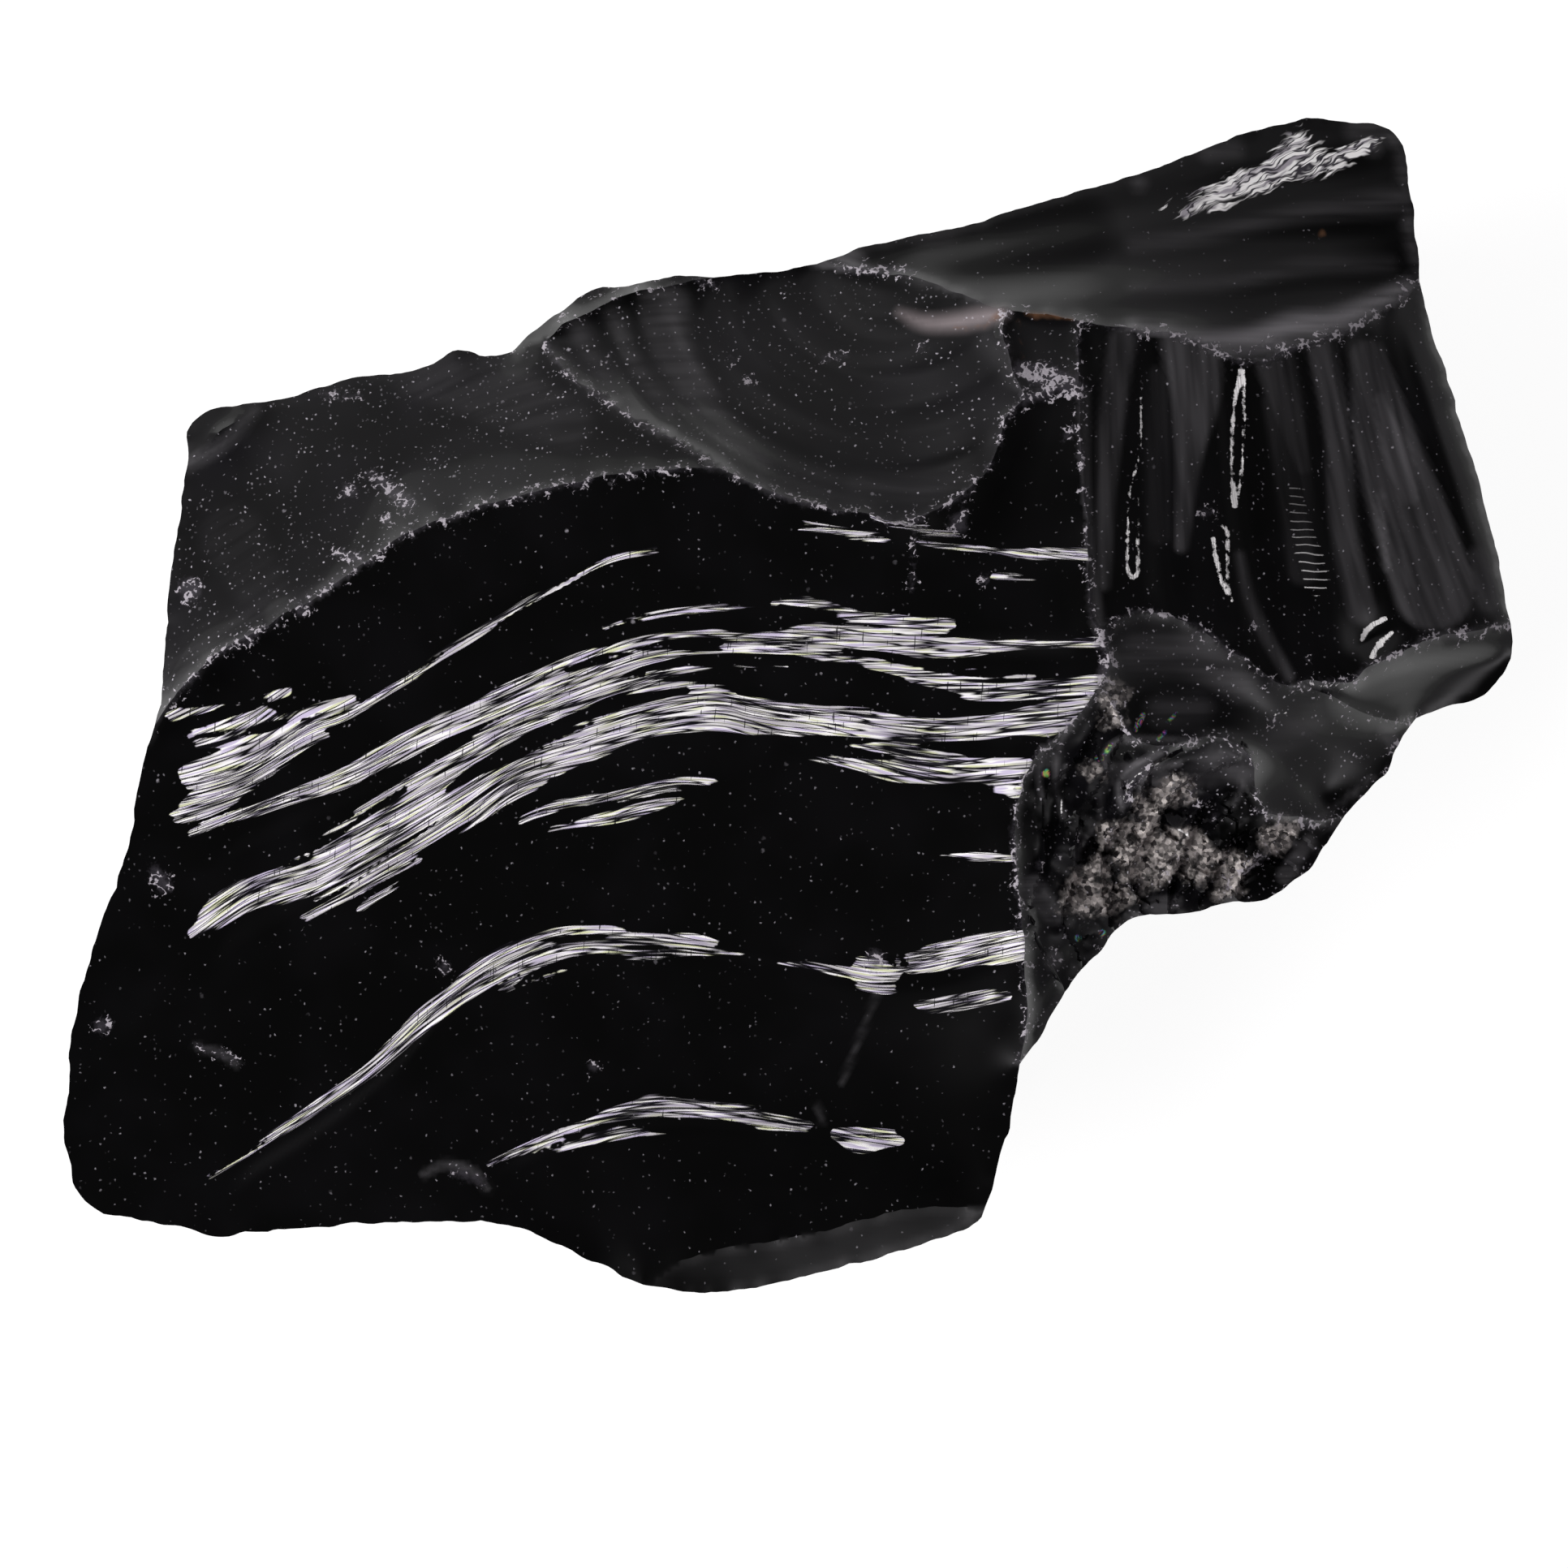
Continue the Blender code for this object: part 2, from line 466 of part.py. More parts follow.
def flank_depth(angle, down):
    """How deep the deepest scar bites at each angle, at this share of the way down."""
    depth = np.zeros_like(angle)
    for middle, half_width, level, half_height, bite in FLANK_SCARS:
        aside = ((angle - middle + 180) % 360 - 180) / half_width
        bowl = bite * (1 - aside**2 - ((down - level) / half_height) ** 2)
        depth = np.maximum(depth, bowl)
    for number in range(CHIPS["count"]):
        level = 0.12 + 0.83 * (0.618 * number % 1)
        (width, wider), (height, higher), (bite, deeper) = CHIPS["width"], CHIPS["height"], CHIPS["depth"]
        aside = ((angle - CHIPS["turn"] * number + 180) % 360 - 180) / (width + wider * (0.73 * number % 1))
        below = (down - level) / (height + higher * (0.41 * number % 1))
        chip = (bite + deeper * (0.29 * number % 1)) * (1 - aside**2 - below**2)
        depth = depth + np.maximum(0, chip)
    return depth * min(1, down / RIM_BAND)


def flank_rows(rim):
    """Rows of points from the rim, left out, down to the foot of the flanks."""
    centre = np.array(STONE_CENTRE)
    out = rim[:, :2] - centre
    reach = np.hypot(*out.T)
    angle = np.degrees(np.arctan2(out[:, 1], out[:, 0]))
    share_angles, shares = zip(*FOOT_SHARE)
    foot = round_blur(angle, reach, FOOT_BLUR_DEG) * np.interp(angle, share_angles, shares, period=360)
    foot = np.minimum(foot, 0.975 * reach)
    rows = []
    for down in np.linspace(0, 1, FLANK_ROWS + 1)[1:]:
        lean = LEAN_START * down + (1 - LEAN_START) * down**2
        radius = reach + (foot - reach) * lean - flank_depth(angle, down)
        rows.append(np.column_stack([centre + out * (radius / reach)[:, None], rim[:, 2] * (1 - down)]))
    return rows


def stone_mesh():
    lines = {name: smooth_line(points, POINT_SPACING) for name, points in RIDGES.items()}
    top, top_triangles, rim_count = top_sheet(lines)
    rows = flank_rows(top[:rim_count])
    points = np.vstack([top] + rows)
    ring = np.arange(rim_count)
    triangles = [upward(top, top_triangles)]
    above = ring
    for number in range(len(rows)):
        below = len(top) + number * rim_count + ring
        after, below_after = np.roll(above, -1), np.roll(below, -1)
        triangles.append(np.column_stack([above, after, below]))
        triangles.append(np.column_stack([after, below_after, below]))
        above = below
    foot = points[above]
    sides = np.column_stack([ring, np.roll(ring, -1)])
    triangles.append(above[upward(foot, triangles_in(foot, sides))][:, ::-1])
    mesh = bpy.data.meshes.new(NODE_NAME)
    mesh.from_pydata((points * MM).tolist(), [], np.vstack(triangles).tolist())
    mesh.validate()
    return mesh


def upward(points, triangles):
    """The triangles, each turned so that it faces up."""
    a, b, c = (points[triangles[:, k], :2] for k in range(3))
    turn = (b[:, 0] - a[:, 0]) * (c[:, 1] - a[:, 1]) - (b[:, 1] - a[:, 1]) * (c[:, 0] - a[:, 0])
    return np.where((turn > 0)[:, None], triangles, triangles[:, ::-1])


def glass():
    material = bpy.data.materials.new("volcanic_glass")
    material.use_nodes = True
    shader = material.node_tree.nodes["Principled BSDF"]
    shader.inputs["Base Color"].default_value = GLASS_COLOUR
    shader.inputs["Roughness"].default_value = GLASS_ROUGHNESS
    shader.inputs["Metallic"].default_value = 0.0
    return material


def main():
    for old in list(bpy.data.objects):
        bpy.data.objects.remove(old, do_unlink=True)
    stone = bpy.data.objects.new(NODE_NAME, stone_mesh())
    stone.data.materials.append(glass())
    bpy.context.scene.collection.objects.link(stone)


main()
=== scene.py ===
import functools
import math

import bpy
import numpy as np
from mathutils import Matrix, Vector
from mathutils.geometry import delaunay_2d_cdt


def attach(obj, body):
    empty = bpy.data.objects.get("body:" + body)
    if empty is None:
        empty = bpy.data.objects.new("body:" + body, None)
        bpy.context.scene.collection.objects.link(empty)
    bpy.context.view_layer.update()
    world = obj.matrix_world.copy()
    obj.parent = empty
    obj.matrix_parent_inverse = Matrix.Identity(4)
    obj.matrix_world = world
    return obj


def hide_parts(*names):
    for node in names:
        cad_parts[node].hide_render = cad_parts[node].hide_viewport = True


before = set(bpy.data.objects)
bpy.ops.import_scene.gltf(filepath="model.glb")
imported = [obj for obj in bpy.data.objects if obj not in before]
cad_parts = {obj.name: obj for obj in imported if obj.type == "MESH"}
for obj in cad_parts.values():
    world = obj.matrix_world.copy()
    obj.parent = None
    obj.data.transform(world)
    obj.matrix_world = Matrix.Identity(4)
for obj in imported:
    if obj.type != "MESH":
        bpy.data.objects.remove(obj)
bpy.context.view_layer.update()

mm = 0.001  # every size below is in millimetres, and metres in the meshes
scatterTurns = (127.1, 311.7, 74.7)  # what a cell's indices and the seed are multiplied by
scatterSize = 43758.5453
planeSeeds = (0, 5, 11, 17, 23)  # a broken plane's place across and up, its two slopes and its level
curveSteps = 24  # pieces that a curve is worked out in between two of its knots


def toLinear(hexColour):
    # sRGB hex to linear: each channel c becomes ((c + 0.055) / 1.055) ^ 2.4, or c / 12.92 near black
    channels = [int(hexColour[i:i + 2], 16) / 255 for i in (1, 3, 5)]
    return tuple(c / 12.92 if c <= 0.04045 else ((c + 0.055) / 1.055) ** 2.4 for c in channels) + (1.0,)


def smoothStep(value):
    # 3v^2 - 2v^3 of the value held between 0 and 1
    held = np.clip(value, 0, 1)
    return held * held * (3 - 2 * held)


def scatter(i, j, seed):
    # a number from 0 to 1 that looks random, from the fraction of a large sine of the cell's indices
    turns = i * scatterTurns[0] + j * scatterTurns[1] + seed * scatterTurns[2]
    return np.modf(np.abs(np.sin(turns) * scatterSize))[0]


def softNoise(x, y, seed):
    # random values at whole coordinates, blended smoothly between them, from -1 to 1
    i, j = np.floor(x), np.floor(y)
    u, v = smoothStep(x - i), smoothStep(y - j)
    low = scatter(i, j, seed) * (1 - u) + scatter(i + 1, j, seed) * u
    high = scatter(i, j + 1, seed) * (1 - u) + scatter(i + 1, j + 1, seed) * u
    return 2 * (low * (1 - v) + high * v) - 1


def layeredNoise(x, y, seed, layers=3):
    # soft noise summed over layers, each half as high and twice as fine as the one before
    return sum(softNoise(x * 2**k, y * 2**k, seed + k) / 2**k for k in range(layers))


def brokenPlanes(x, y, size, tilt, seed):
    # each point takes the height of the nearest cell's own tilted plane, as crushed crystal faces do
    i, j = np.floor(x / size), np.floor(y / size)
    nearest = np.full(x.shape, np.inf)
    height = np.zeros_like(x)
    for di, dj in np.ndindex(3, 3):
        a, b = i + di - 1, j + dj - 1
        right, up, slopeX, slopeY, level = (scatter(a, b, seed + extra) for extra in planeSeeds)
        dx = x - (a + right) * size
        dy = y - (b + up) * size
        plane = tilt * (2 * slopeX - 1) * dx + tilt * (2 * slopeY - 1) * dy
        plane = plane + crush["stepUp"] * size * (level - 0.5)
        away = dx * dx + dy * dy
        height = np.where(away < nearest, plane, height)
        nearest = np.minimum(away, nearest)
    return height


# The stone's ridges, as (x, y, z). Those named rim follow one another clockwise round it, seen from above.
ridges = {
    "rimLeftTop": [(-26.3, -1.4, 12.2), (-26, 0.1, 11.8), (-25.9, 2.6, 11.2), (-25.7, 5.4, 10.6),
        (-25.4, 7.8, 10.2), (-25.1, 10.1, 9.8)],
    "rimCorner": [(-25.1, 10.1, 9.8), (-25.1, 11.4, 9.5), (-24.5, 12.1, 9.4), (-23.1, 12.4, 9.6),
        (-21.9, 12.5, 9.8)],
    "rimBackLeft": [(-21.9, 12.5, 9.8), (-19.3, 13.1, 10.2), (-18, 13.5, 10.4), (-15.9, 13.6, 10.8),
        (-15.2, 13.8, 11), (-14.4, 14.2, 11.1), (-13.8, 14.5, 11.2), (-13.3, 14.4, 11.2),
        (-12.5, 14.2, 11.3), (-11.5, 14.4, 11.4)],
    "rimBackStep": [(-11.5, 14.4, 11.4), (-10.6, 15.3, 11.4), (-9.1, 16.4, 11.5), (-7.8, 17, 11.7),
        (-6.1, 17.2, 11.9), (-4.7, 17.5, 12), (-3.1, 17.4, 12.2)],
    "rimBackMiddle": [(-3.1, 17.4, 12.2), (-1.9, 17.5, 12.2), (-0.4, 17.7, 12.1), (1.2, 18, 12)],
    "rimBackRight": [(1.2, 18, 12), (3, 18.7, 11.9), (5, 19.1, 11.8), (7.7, 19.8, 11.6), (11.1, 20.9, 11.3),
        (14.6, 21.9, 11), (18, 23.3, 10.7), (20, 24, 10.5), (21.9, 24.4, 10.4), (23.6, 24.3, 10.4),
        (24.9, 24.1, 10.4), (25.5, 23.7, 10.5), (25.9, 22.8, 10.7), (26.1, 20.7, 11), (26.3, 18.9, 11.2),
        (26.4, 17.4, 11.2)],
    "rimRight": [(26.4, 17.4, 11.2), (26.8, 15.6, 11.8), (27.4, 13.5, 12.2), (28, 11.4, 12.4),
        (28.8, 8.5, 12.4), (29.5, 6, 12.2), (29.8, 4.3, 12), (30.1, 2.9, 11.6)],
    "rimSlab": [(30.1, 2.9, 11.6), (30.2, 1.9, 11.2), (29.8, 0.8, 10.8), (28.8, -0.1, 10.5),
        (27.4, -0.5, 10.4), (26.2, -0.9, 10.4)],
    "rimLobe": [(26.2, -0.9, 10.4), (25.6, -1.7, 10.6), (25.1, -2.9, 10.8), (24.4, -3.8, 10.9),
        (23.2, -5, 10.9)],
    "rimNotch": [(23.2, -5, 10.9), (22.5, -6.1, 11), (21.9, -7.1, 11.1), (21, -7.9, 11.2),
        (19.9, -8.5, 11.4), (17.9, -8.9, 11.6), (16.6, -9.2, 11.8), (15.4, -9.3, 11.9), (14.4, -9.4, 12),
        (13.6, -10, 12.1), (12.8, -10.9, 12.2), (11.8, -12, 12.3), (11.1, -13.2, 12.3), (10.4, -14.4, 12.2),
        (9.6, -15.5, 12)],
    "rimFrontRight": [(9.6, -15.5, 12), (9.3, -17.3, 11.7), (8.9, -19, 11.3), (8.6, -20.3, 11),
        (8.2, -21.3, 10.8)],
    "rimFrontBevel": [(8.2, -21.3, 10.8), (7.8, -22, 10.6), (6.4, -22.6, 10.3), (3.7, -23.4, 10.1),
        (1.8, -23.9, 10), (0, -24.4, 9.9), (-1.7, -24.7, 9.8), (-3.8, -24.8, 9.7), (-6, -24.5, 9.6)],
    "rimFrontLeft": [(-6, -24.5, 9.6), (-8, -23.6, 10.2), (-9.5, -22.9, 10.5), (-10.8, -22.3, 10.7),
        (-12.5, -22, 10.9), (-14.6, -21.9, 10.9), (-17.6, -22, 10.5), (-20.3, -22.2, 10),
        (-22.7, -22.4, 9.6), (-24, -22.5, 9.3), (-25.1, -22.1, 9.2), (-26.8, -21.8, 9),
        (-28.5, -21.5, 8.8)],
    "rimLeft": [(-28.5, -21.5, 8.8), (-29.4, -20.8, 8.7), (-29.9, -19.6, 8.7), (-30.2, -18.2, 8.8),
        (-30, -16.4, 9), (-29.9, -14.4, 9.3), (-29.6, -12.7, 9.6), (-29.1, -11.1, 10), (-28.6, -9.6, 10.4),
        (-27.9, -7.8, 10.8), (-27.4, -6.3, 11.2), (-27.1, -4.4, 11.6), (-26.8, -3.1, 12),
        (-26.3, -1.4, 12.2)],
    "crestLeft": [(-26.3, -1.4, 12.2), (-25.4, -0.1, 12.7), (-24.4, 0.8, 13.2), (-22.9, 1.9, 13.8),
        (-21.7, 2.5, 14.2), (-20.8, 3, 14.5), (-19.6, 3.6, 14.8), (-19.1, 3.9, 14.9), (-17.4, 5, 15.5),
        (-15.6, 6.2, 16.1), (-14, 6.7, 16.4), (-12.4, 7.3, 16.8), (-9.7, 7.9, 17.2), (-7, 8.4, 17.5),
        (-4.7, 8.6, 17.8), (-2.8, 8.6, 18)],
    "scarLeft": [(-2.8, 8.6, 18), (-4, 9.5, 17.2), (-5.7, 10.5, 16.2), (-7.1, 11.5, 15.3),
        (-8.3, 12.5, 14.4), (-9.3, 13.4, 13.6), (-10.1, 14.7, 12.4)],
    "scarFront": [(-2.8, 8.6, 18), (-0.7, 7.7, 18), (1, 7.1, 18), (2.6, 6.8, 18), (4.6, 6.4, 18),
        (6, 6.8, 18), (7.2, 7.5, 17.9), (7.7, 8, 17.9), (8.3, 8.8, 17.8), (8.8, 10.2, 17.7),
        (9.3, 11.1, 17.6), (9.8, 11.6, 17.5)],
    "scarRight": [(9.8, 11.6, 17.5), (9.4, 12.5, 17.2), (9.1, 13.3, 17), (8.8, 14.5, 16.7),
        (9.1, 15.4, 16.4)],
    "scarBack": [(9.1, 15.4, 16.4), (8.2, 15.7, 15.8), (7, 16.4, 15), (5.3, 17.1, 13.9), (3.7, 17.5, 13),
        (1.2, 18, 12)],
    "stepA": [(-11.5, 14.4, 11.4), (-10.8, 14.6, 11.9), (-10.1, 14.7, 12.4)],
    "stepB": [(-10.1, 14.7, 12.4), (-9.1, 15.5, 12.5), (-7.4, 16.3, 12.5), (-6.4, 16.7, 12.5),
        (-5.1, 17, 12.4), (-3.1, 17.4, 12.2)],
    "cornerChip": [(-25.1, 10.1, 9.8), (-24.2, 10.8, 10.3), (-23.2, 11.5, 10.3), (-21.9, 12.5, 9.8)],
    "crushedTop": [(9.8, 11.6, 17.5), (10.6, 11.8, 17.5), (11.4, 12.2, 17.5), (12, 11.9, 17.6)],
    "spurTop": [(12, 14.9, 16.8), (11.9, 13.3, 17.2), (12, 11.9, 17.6)],
    "nickTop": [(9.1, 15.4, 16.4), (10.6, 15.2, 16.6), (12, 14.9, 16.8)],
    "spurUpper": [(12, 11.9, 17.6), (12.1, 9.1, 17.9), (12.2, 7.1, 18), (12.3, 5.1, 18.1),
        (12.4, 2.9, 18.1), (12.9, 1.5, 18)],
    "spurKnee": [(12.9, 1.5, 18), (13.2, 0.6, 17.9), (12.8, -0.4, 17.8)],
    "spurLower": [(12.8, -0.4, 17.8), (12, -1.5, 17.6), (11, -2.5, 17.4), (10.2, -3.3, 17.2),
        (9.7, -4.1, 17), (9.4, -5.2, 16.8), (9.3, -6.8, 16.5), (9.5, -8.7, 15.8), (9.8, -12, 14.4),
        (9.8, -13.9, 13.2), (9.6, -15.5, 12)],
    "wingFront": [(12, 14.9, 16.8), (14.3, 14.6, 16.5), (16, 14.4, 16.2), (17.3, 14.1, 15.9),
        (18.1, 13.6, 15.7), (19, 13.3, 15.5), (19.8, 13.5, 15.3), (21.1, 14.1, 14.9), (22.8, 14.7, 14.2),
        (24.5, 15.7, 13), (26.4, 17.4, 11.2)],
    "lobeTop": [(12.9, 1.5, 18), (13.3, 2.2, 17.9), (14.3, 2.8, 17.5), (15.6, 2.7, 17), (17, 2.1, 16.5),
        (18, 1.5, 16.1), (19, 0.8, 15.8), (20, 0.1, 15.5), (20.8, -0.1, 15.2)],
    "slabTop": [(20.8, -0.1, 15.2), (21.5, 0.2, 15.1), (22.4, 0.1, 14.8), (23.3, 0.2, 14.6),
        (23.9, 0.8, 14.5), (24.6, 1.1, 14.4), (25.6, 1.6, 14.1), (26.7, 2.1, 13.7), (28.1, 2.4, 13),
        (29.3, 2.7, 12.3), (30.1, 2.9, 11.6)],
    "slabFront": [(20.8, -0.1, 15.2), (21.7, -0.2, 14.8), (22.8, -0.5, 14.2), (24.2, -1, 12.6),
        (25.3, -1.1, 11.4), (26.2, -0.9, 10.4)],
    "lobeFront": [(12.8, -0.4, 17.8), (13.5, -1.3, 17.2), (14.1, -2.3, 16.9), (15.2, -2.7, 16.5),
        (16.5, -2.4, 16.1), (17.6, -2.2, 15.7), (18.7, -2.6, 15.2), (19.2, -3.3, 14.7), (19.4, -4.3, 13.9),
        (20, -5.1, 13.2), (21.2, -5.2, 12.2), (22.3, -5.3, 11.5), (23.2, -5, 10.9)],
    "frontBevel": [(-6, -24.5, 9.6), (-5, -23.8, 10.2), (-4.1, -23.5, 10.6), (-2.4, -23, 10.9),
        (1, -22.5, 11.1), (3, -21.9, 11.3), (5, -21.5, 11.4), (6.4, -21.4, 11.3), (8.2, -21.3, 10.8)],
}
rimOrder = [name for name in ridges if name.startswith("rim")]

# Lines that the fibres follow, from the back of the main face to its front.
guides = [
    [(-26.2, -0.8), (-22.5, 1.5), (-19.1, 3.8), (-12.4, 7.3), (-7, 8.6), (-2.4, 8.6), (4.3, 6.4),
     (12.5, 6.5)],
    [(-26.2, -4.6), (-22.5, -3.7), (-19.8, -2), (-18.1, -1.3), (-15.1, 0.4), (-12.4, 2.1), (-9.4, 3.8),
     (-6.5, 5.1), (-2.4, 5.4), (4.3, 5.8), (12.5, 5.1)],
    [(-26.3, -7.1), (-24.4, -6.5), (-21.5, -5.3), (-18.1, -4.1), (-15.1, -2.5), (-12.4, -1.4), (-9, 0),
     (-5.7, 1.2), (-2.4, 1.5), (4.3, 1.4), (12.5, 1.5)],
    [(-26.3, -11.6), (-24.4, -10.5), (-21.9, -8.8), (-19.2, -7.9), (-16.4, -6.4), (-13.7, -4.8),
     (-11.1, -3.2), (-8.4, -2.3), (-5.7, -1.5), (-3, -1.1), (-0.7, -1.5), (4.3, -2), (7.6, -2.1),
     (12.5, -1.5)],
    [(-26.3, -15.5), (-19.2, -11.2), (-13.8, -8), (-10.9, -5.8), (-7.7, -5.1), (-4, -4.4), (1, -5.5),
     (6, -7.3), (12.5, -7.3)],
    [(-26.4, -22.2), (-23.8, -20.5), (-20.9, -18.7), (-17.5, -16.4), (-14.8, -14), (-12.1, -12.1),
     (-9.1, -11), (-5.7, -10.9), (-2.4, -11.2), (1, -11.8), (4.3, -12.3), (9.7, -11.1)],
    [(-26.4, -26.9), (-17.5, -22.6), (-12.3, -20), (-9.1, -18.7), (-5.7, -17.9), (-2.4, -18), (1.3, -18.4),
     (4.5, -18.8), (9.3, -18.8)],
]

stone = {
    "node": "obsidian_chunk",
    "spacing": 0.235,         # between neighbouring points of the mesh
    "clearance": 0.6,         # face points keep this share of the spacing from a ridge
    "fine": [(16.0, -6.5, 6.5), (17.5, 6.5, 6.0), (22.0, 1.5, 4.0), (20.0, 21.0, 4.5)],  # x, y and radius
    "centre": (-0.7, 1.2),    # the flanks lean towards the upright line through this point
    # how ridges stray from their smooth line: how far, over what length, fading out this near their ends,
    # their share of it upwards, and the seeds of the first ridge and of the upward part
    "wander": {"reach": 0.07, "length": 0.9, "fade": 1.2, "up": 0.5, "seed": 100, "upSeed": 40},
    "reliefEdge": 0.9,        # relief is at full strength this far in from the ridges
    "sharpAngle": 32,         # degrees; a steeper fold than this stays a hard edge
    "lineStep": 0.3, "guideStep": 0.4,    # spacing along the lines of steps and along guides
    "ridgeDust": 0.3, "flankDust": 0.25,  # shares of dust on ridges and flanks
    "sheenEdge": 0.9,         # width over which most sheens, painted reflections and haze alike, fade out
    "farAway": 9.0,           # stands for no ridge or mark near
}

# Faces: the ridges in order round each (minus walks one backwards), how deep the face is hollowed, how far
# in it reaches most of that depth, the share of dust that lies on it, and how dull it is (0 mirrors well).
faces = {
    "main": {
        "edge": "crestLeft scarFront crushedTop spurUpper spurKnee spurLower rimFrontRight -frontBevel "
                "rimFrontLeft rimLeft",
        "hollow": 0.35, "reach": 5.0, "dust": 0.3,
    },
    "left": {
        "edge": "crestLeft scarLeft -stepA -rimBackLeft -cornerChip -rimLeftTop",
        "hollow": 0.5, "reach": 2.5, "dust": 1.0, "dull": 0.4,
    },
    "corner": {"edge": "rimCorner -cornerChip", "hollow": 0.0, "reach": 1.0, "dust": 0.3},
    "step": {"edge": "rimBackStep -stepB -stepA", "hollow": 0.15, "reach": 1.0, "dust": 0.1},
    "scar": {
        "edge": "-scarLeft scarFront scarRight scarBack -rimBackMiddle -stepB",
        "hollow": 1.7, "reach": 2.6, "dust": 0.8,
    },
    "nick": {"edge": "-scarRight crushedTop -spurTop -nickTop", "hollow": 0.5, "reach": 0.9, "dust": 0.8},
    "wing": {
        "edge": "rimBackRight -wingFront -nickTop scarBack",
        "hollow": 0.4, "reach": 2.5, "dust": 0.2, "dull": 0.4,
    },
    "fluted": {
        "edge": "spurTop spurUpper lobeTop slabTop -rimRight -wingFront",
        "hollow": 0.0, "reach": 1.3, "dust": 0.5, "own": {"rimRight": -1.5},
    },
    "lobe": {
        "edge": "lobeTop slabFront rimLobe -lobeFront -spurKnee",
        "hollow": 0.75, "reach": 1.6, "dust": 0.8, "dull": 0.25,
    },
    "slab": {"edge": "slabTop rimSlab -slabFront", "hollow": 0.0, "reach": 1.0, "dust": 0.2, "dull": 0.4},
    "crushed": {"edge": "lobeFront rimNotch -spurLower", "hollow": 0.9, "reach": 1.4, "dust": 1.0, "dull": 1},
    "bevel": {"edge": "frontBevel rimFrontBevel", "hollow": 0.1, "reach": 1.0, "dust": 0.15, "dull": 0.6},
}

# Long low steps in the main face: the line each follows, its drop to the back, and its width.
mainSteps = [
    {"line": [(-19.5, -2.4), (-15.7, -0.1), (-12.4, 2.2), (-9, 4.1),
        (-5.5, 5.4)], "drop": 0.1, "width": 0.8},
    {"line": [(-24.2, -6.9), (-18, -4.4), (-12.3, -1.4), (-9, 0.3), (-5.7, 1.3), (-1, 1.8), (4.3, 1.5),
        (13, 1.2)], "drop": 0.34, "width": 1.7},
    {"line": [(-24.5, -10.9), (-19, -7.8), (-15.7, -5.7), (-12.4, -3.3), (-9, -1.8), (-5.7, -1.1),
        (-2.4, -1.1), (4.3, -2), (12, -1.6)], "drop": 0.42, "width": 2.2},
    {"line": [(-1, -2.6), (3, -3.1), (5, -3.7), (9.7, -3.6)], "drop": 0.16, "width": 1.1},
    {"line": [(-10.7, -6), (-8, -5), (-3.4, -4.2)], "drop": 0.16, "width": 1},
    {"line": [(-23.7, -20.6), (-19.2, -17.8), (-16.1, -15.3), (-14.1, -13.1), (-11.8, -11.8), (-9.1, -10.6),
        (-5.7, -10.6), (4.3, -11.9), (9.8, -10.9)], "drop": 0.28, "width": 1.4},
    {"line": [(-12.5, -20), (-9.1, -18.6), (-5.7, -17.9), (-2.4, -17.9),
        (4.7, -18.6)], "drop": 0.2, "width": 1.1},
]
stepFade = {"return": 6.0, "ends": 1.6}  # width over which a drop is made up again, and length of its ends
slabLedge = {"line": [(20.0, -0.3), (22.8, 0.0), (25.7, 1.1), (30.5, 1.9)], "drop": 0.9, "width": 0.9}
flutes = {
    "foot": (13.0, 14.0), "fan": 0.021,
    "waves": [{"length": 3.1, "depth": 0.08, "shift": 0.4}, {"length": 1.45, "depth": 0.03, "shift": 2.0}],
}
# rings about the blow: their lengths and heights, and how far out finer ones start and over what width
scarRings = {"origin": (4.3, 18.4), "waves": [(2.1, 0.05), (0.83, 0.006)], "outer": (8.5, 2)}
lobeRings = {"origin": (16.5, -9.5), "length": 1.6, "depth": 0.018}
wingWaves = {"slope": 0.16, "length": 2.7, "depth": 0.06}
crush = {
    "centre": (20.0, -8.5), "tread": 1.4, "rise": 0.7, "bend": 0.25, "lump": 2.6, "lumpDepth": 0.2,
    # crystal faces: their sizes and seeds, slope, and height from one to the next as a share of the size
    "crystals": [(0.85, 61), (0.34, 67)], "crystalTilt": 0.55, "stepUp": 0.35,
    # where they are worst and how that fades, the shares there of both sizes, and that of the large elsewhere
    "crystalAt": (15.4, -7.4), "crystalFade": (1.6, 3.0), "crystalShares": (0.7, 0.5, 0.15),
}
# slow or fine unevenness: height, length across and along, and seed
swells = {
    "main": (0.03, 5, 4, 3), "grooves": (0.016, 0.55, 7, 9), "fineGrooves": (0.004, 0.24, 4, 10),
    "ringBend": (0.12, 3, 3, 21), "ringStripes": (0.05, 0.42, 1, 25), "wing": (0.02, 6, 0.8, 31),
    "lobe": (0.02, 3, 3, 41), "slab": (0.02, 3, 0.3, 51),
}
pits = {
    "lobe": [
        {"at": (22.4, -4.3), "across": 1.3, "depth": 0.5}, {"at": (21.6, -3.0), "across": 3.0, "depth": 0.4},
    ],
    "fluted": [{"at": (24.2, 2.0), "across": 1.5, "depth": 0.5}],
    "left": [{"at": (-16.5, 8.8), "across": 1.6, "depth": 0.18}],
    "main": [
        {"at": (-25.6, -8.6), "across": 1.4, "depth": 0.12},
        {"at": (-28.0, -13.4), "across": 1.6, "depth": 0.14},
    ],
}

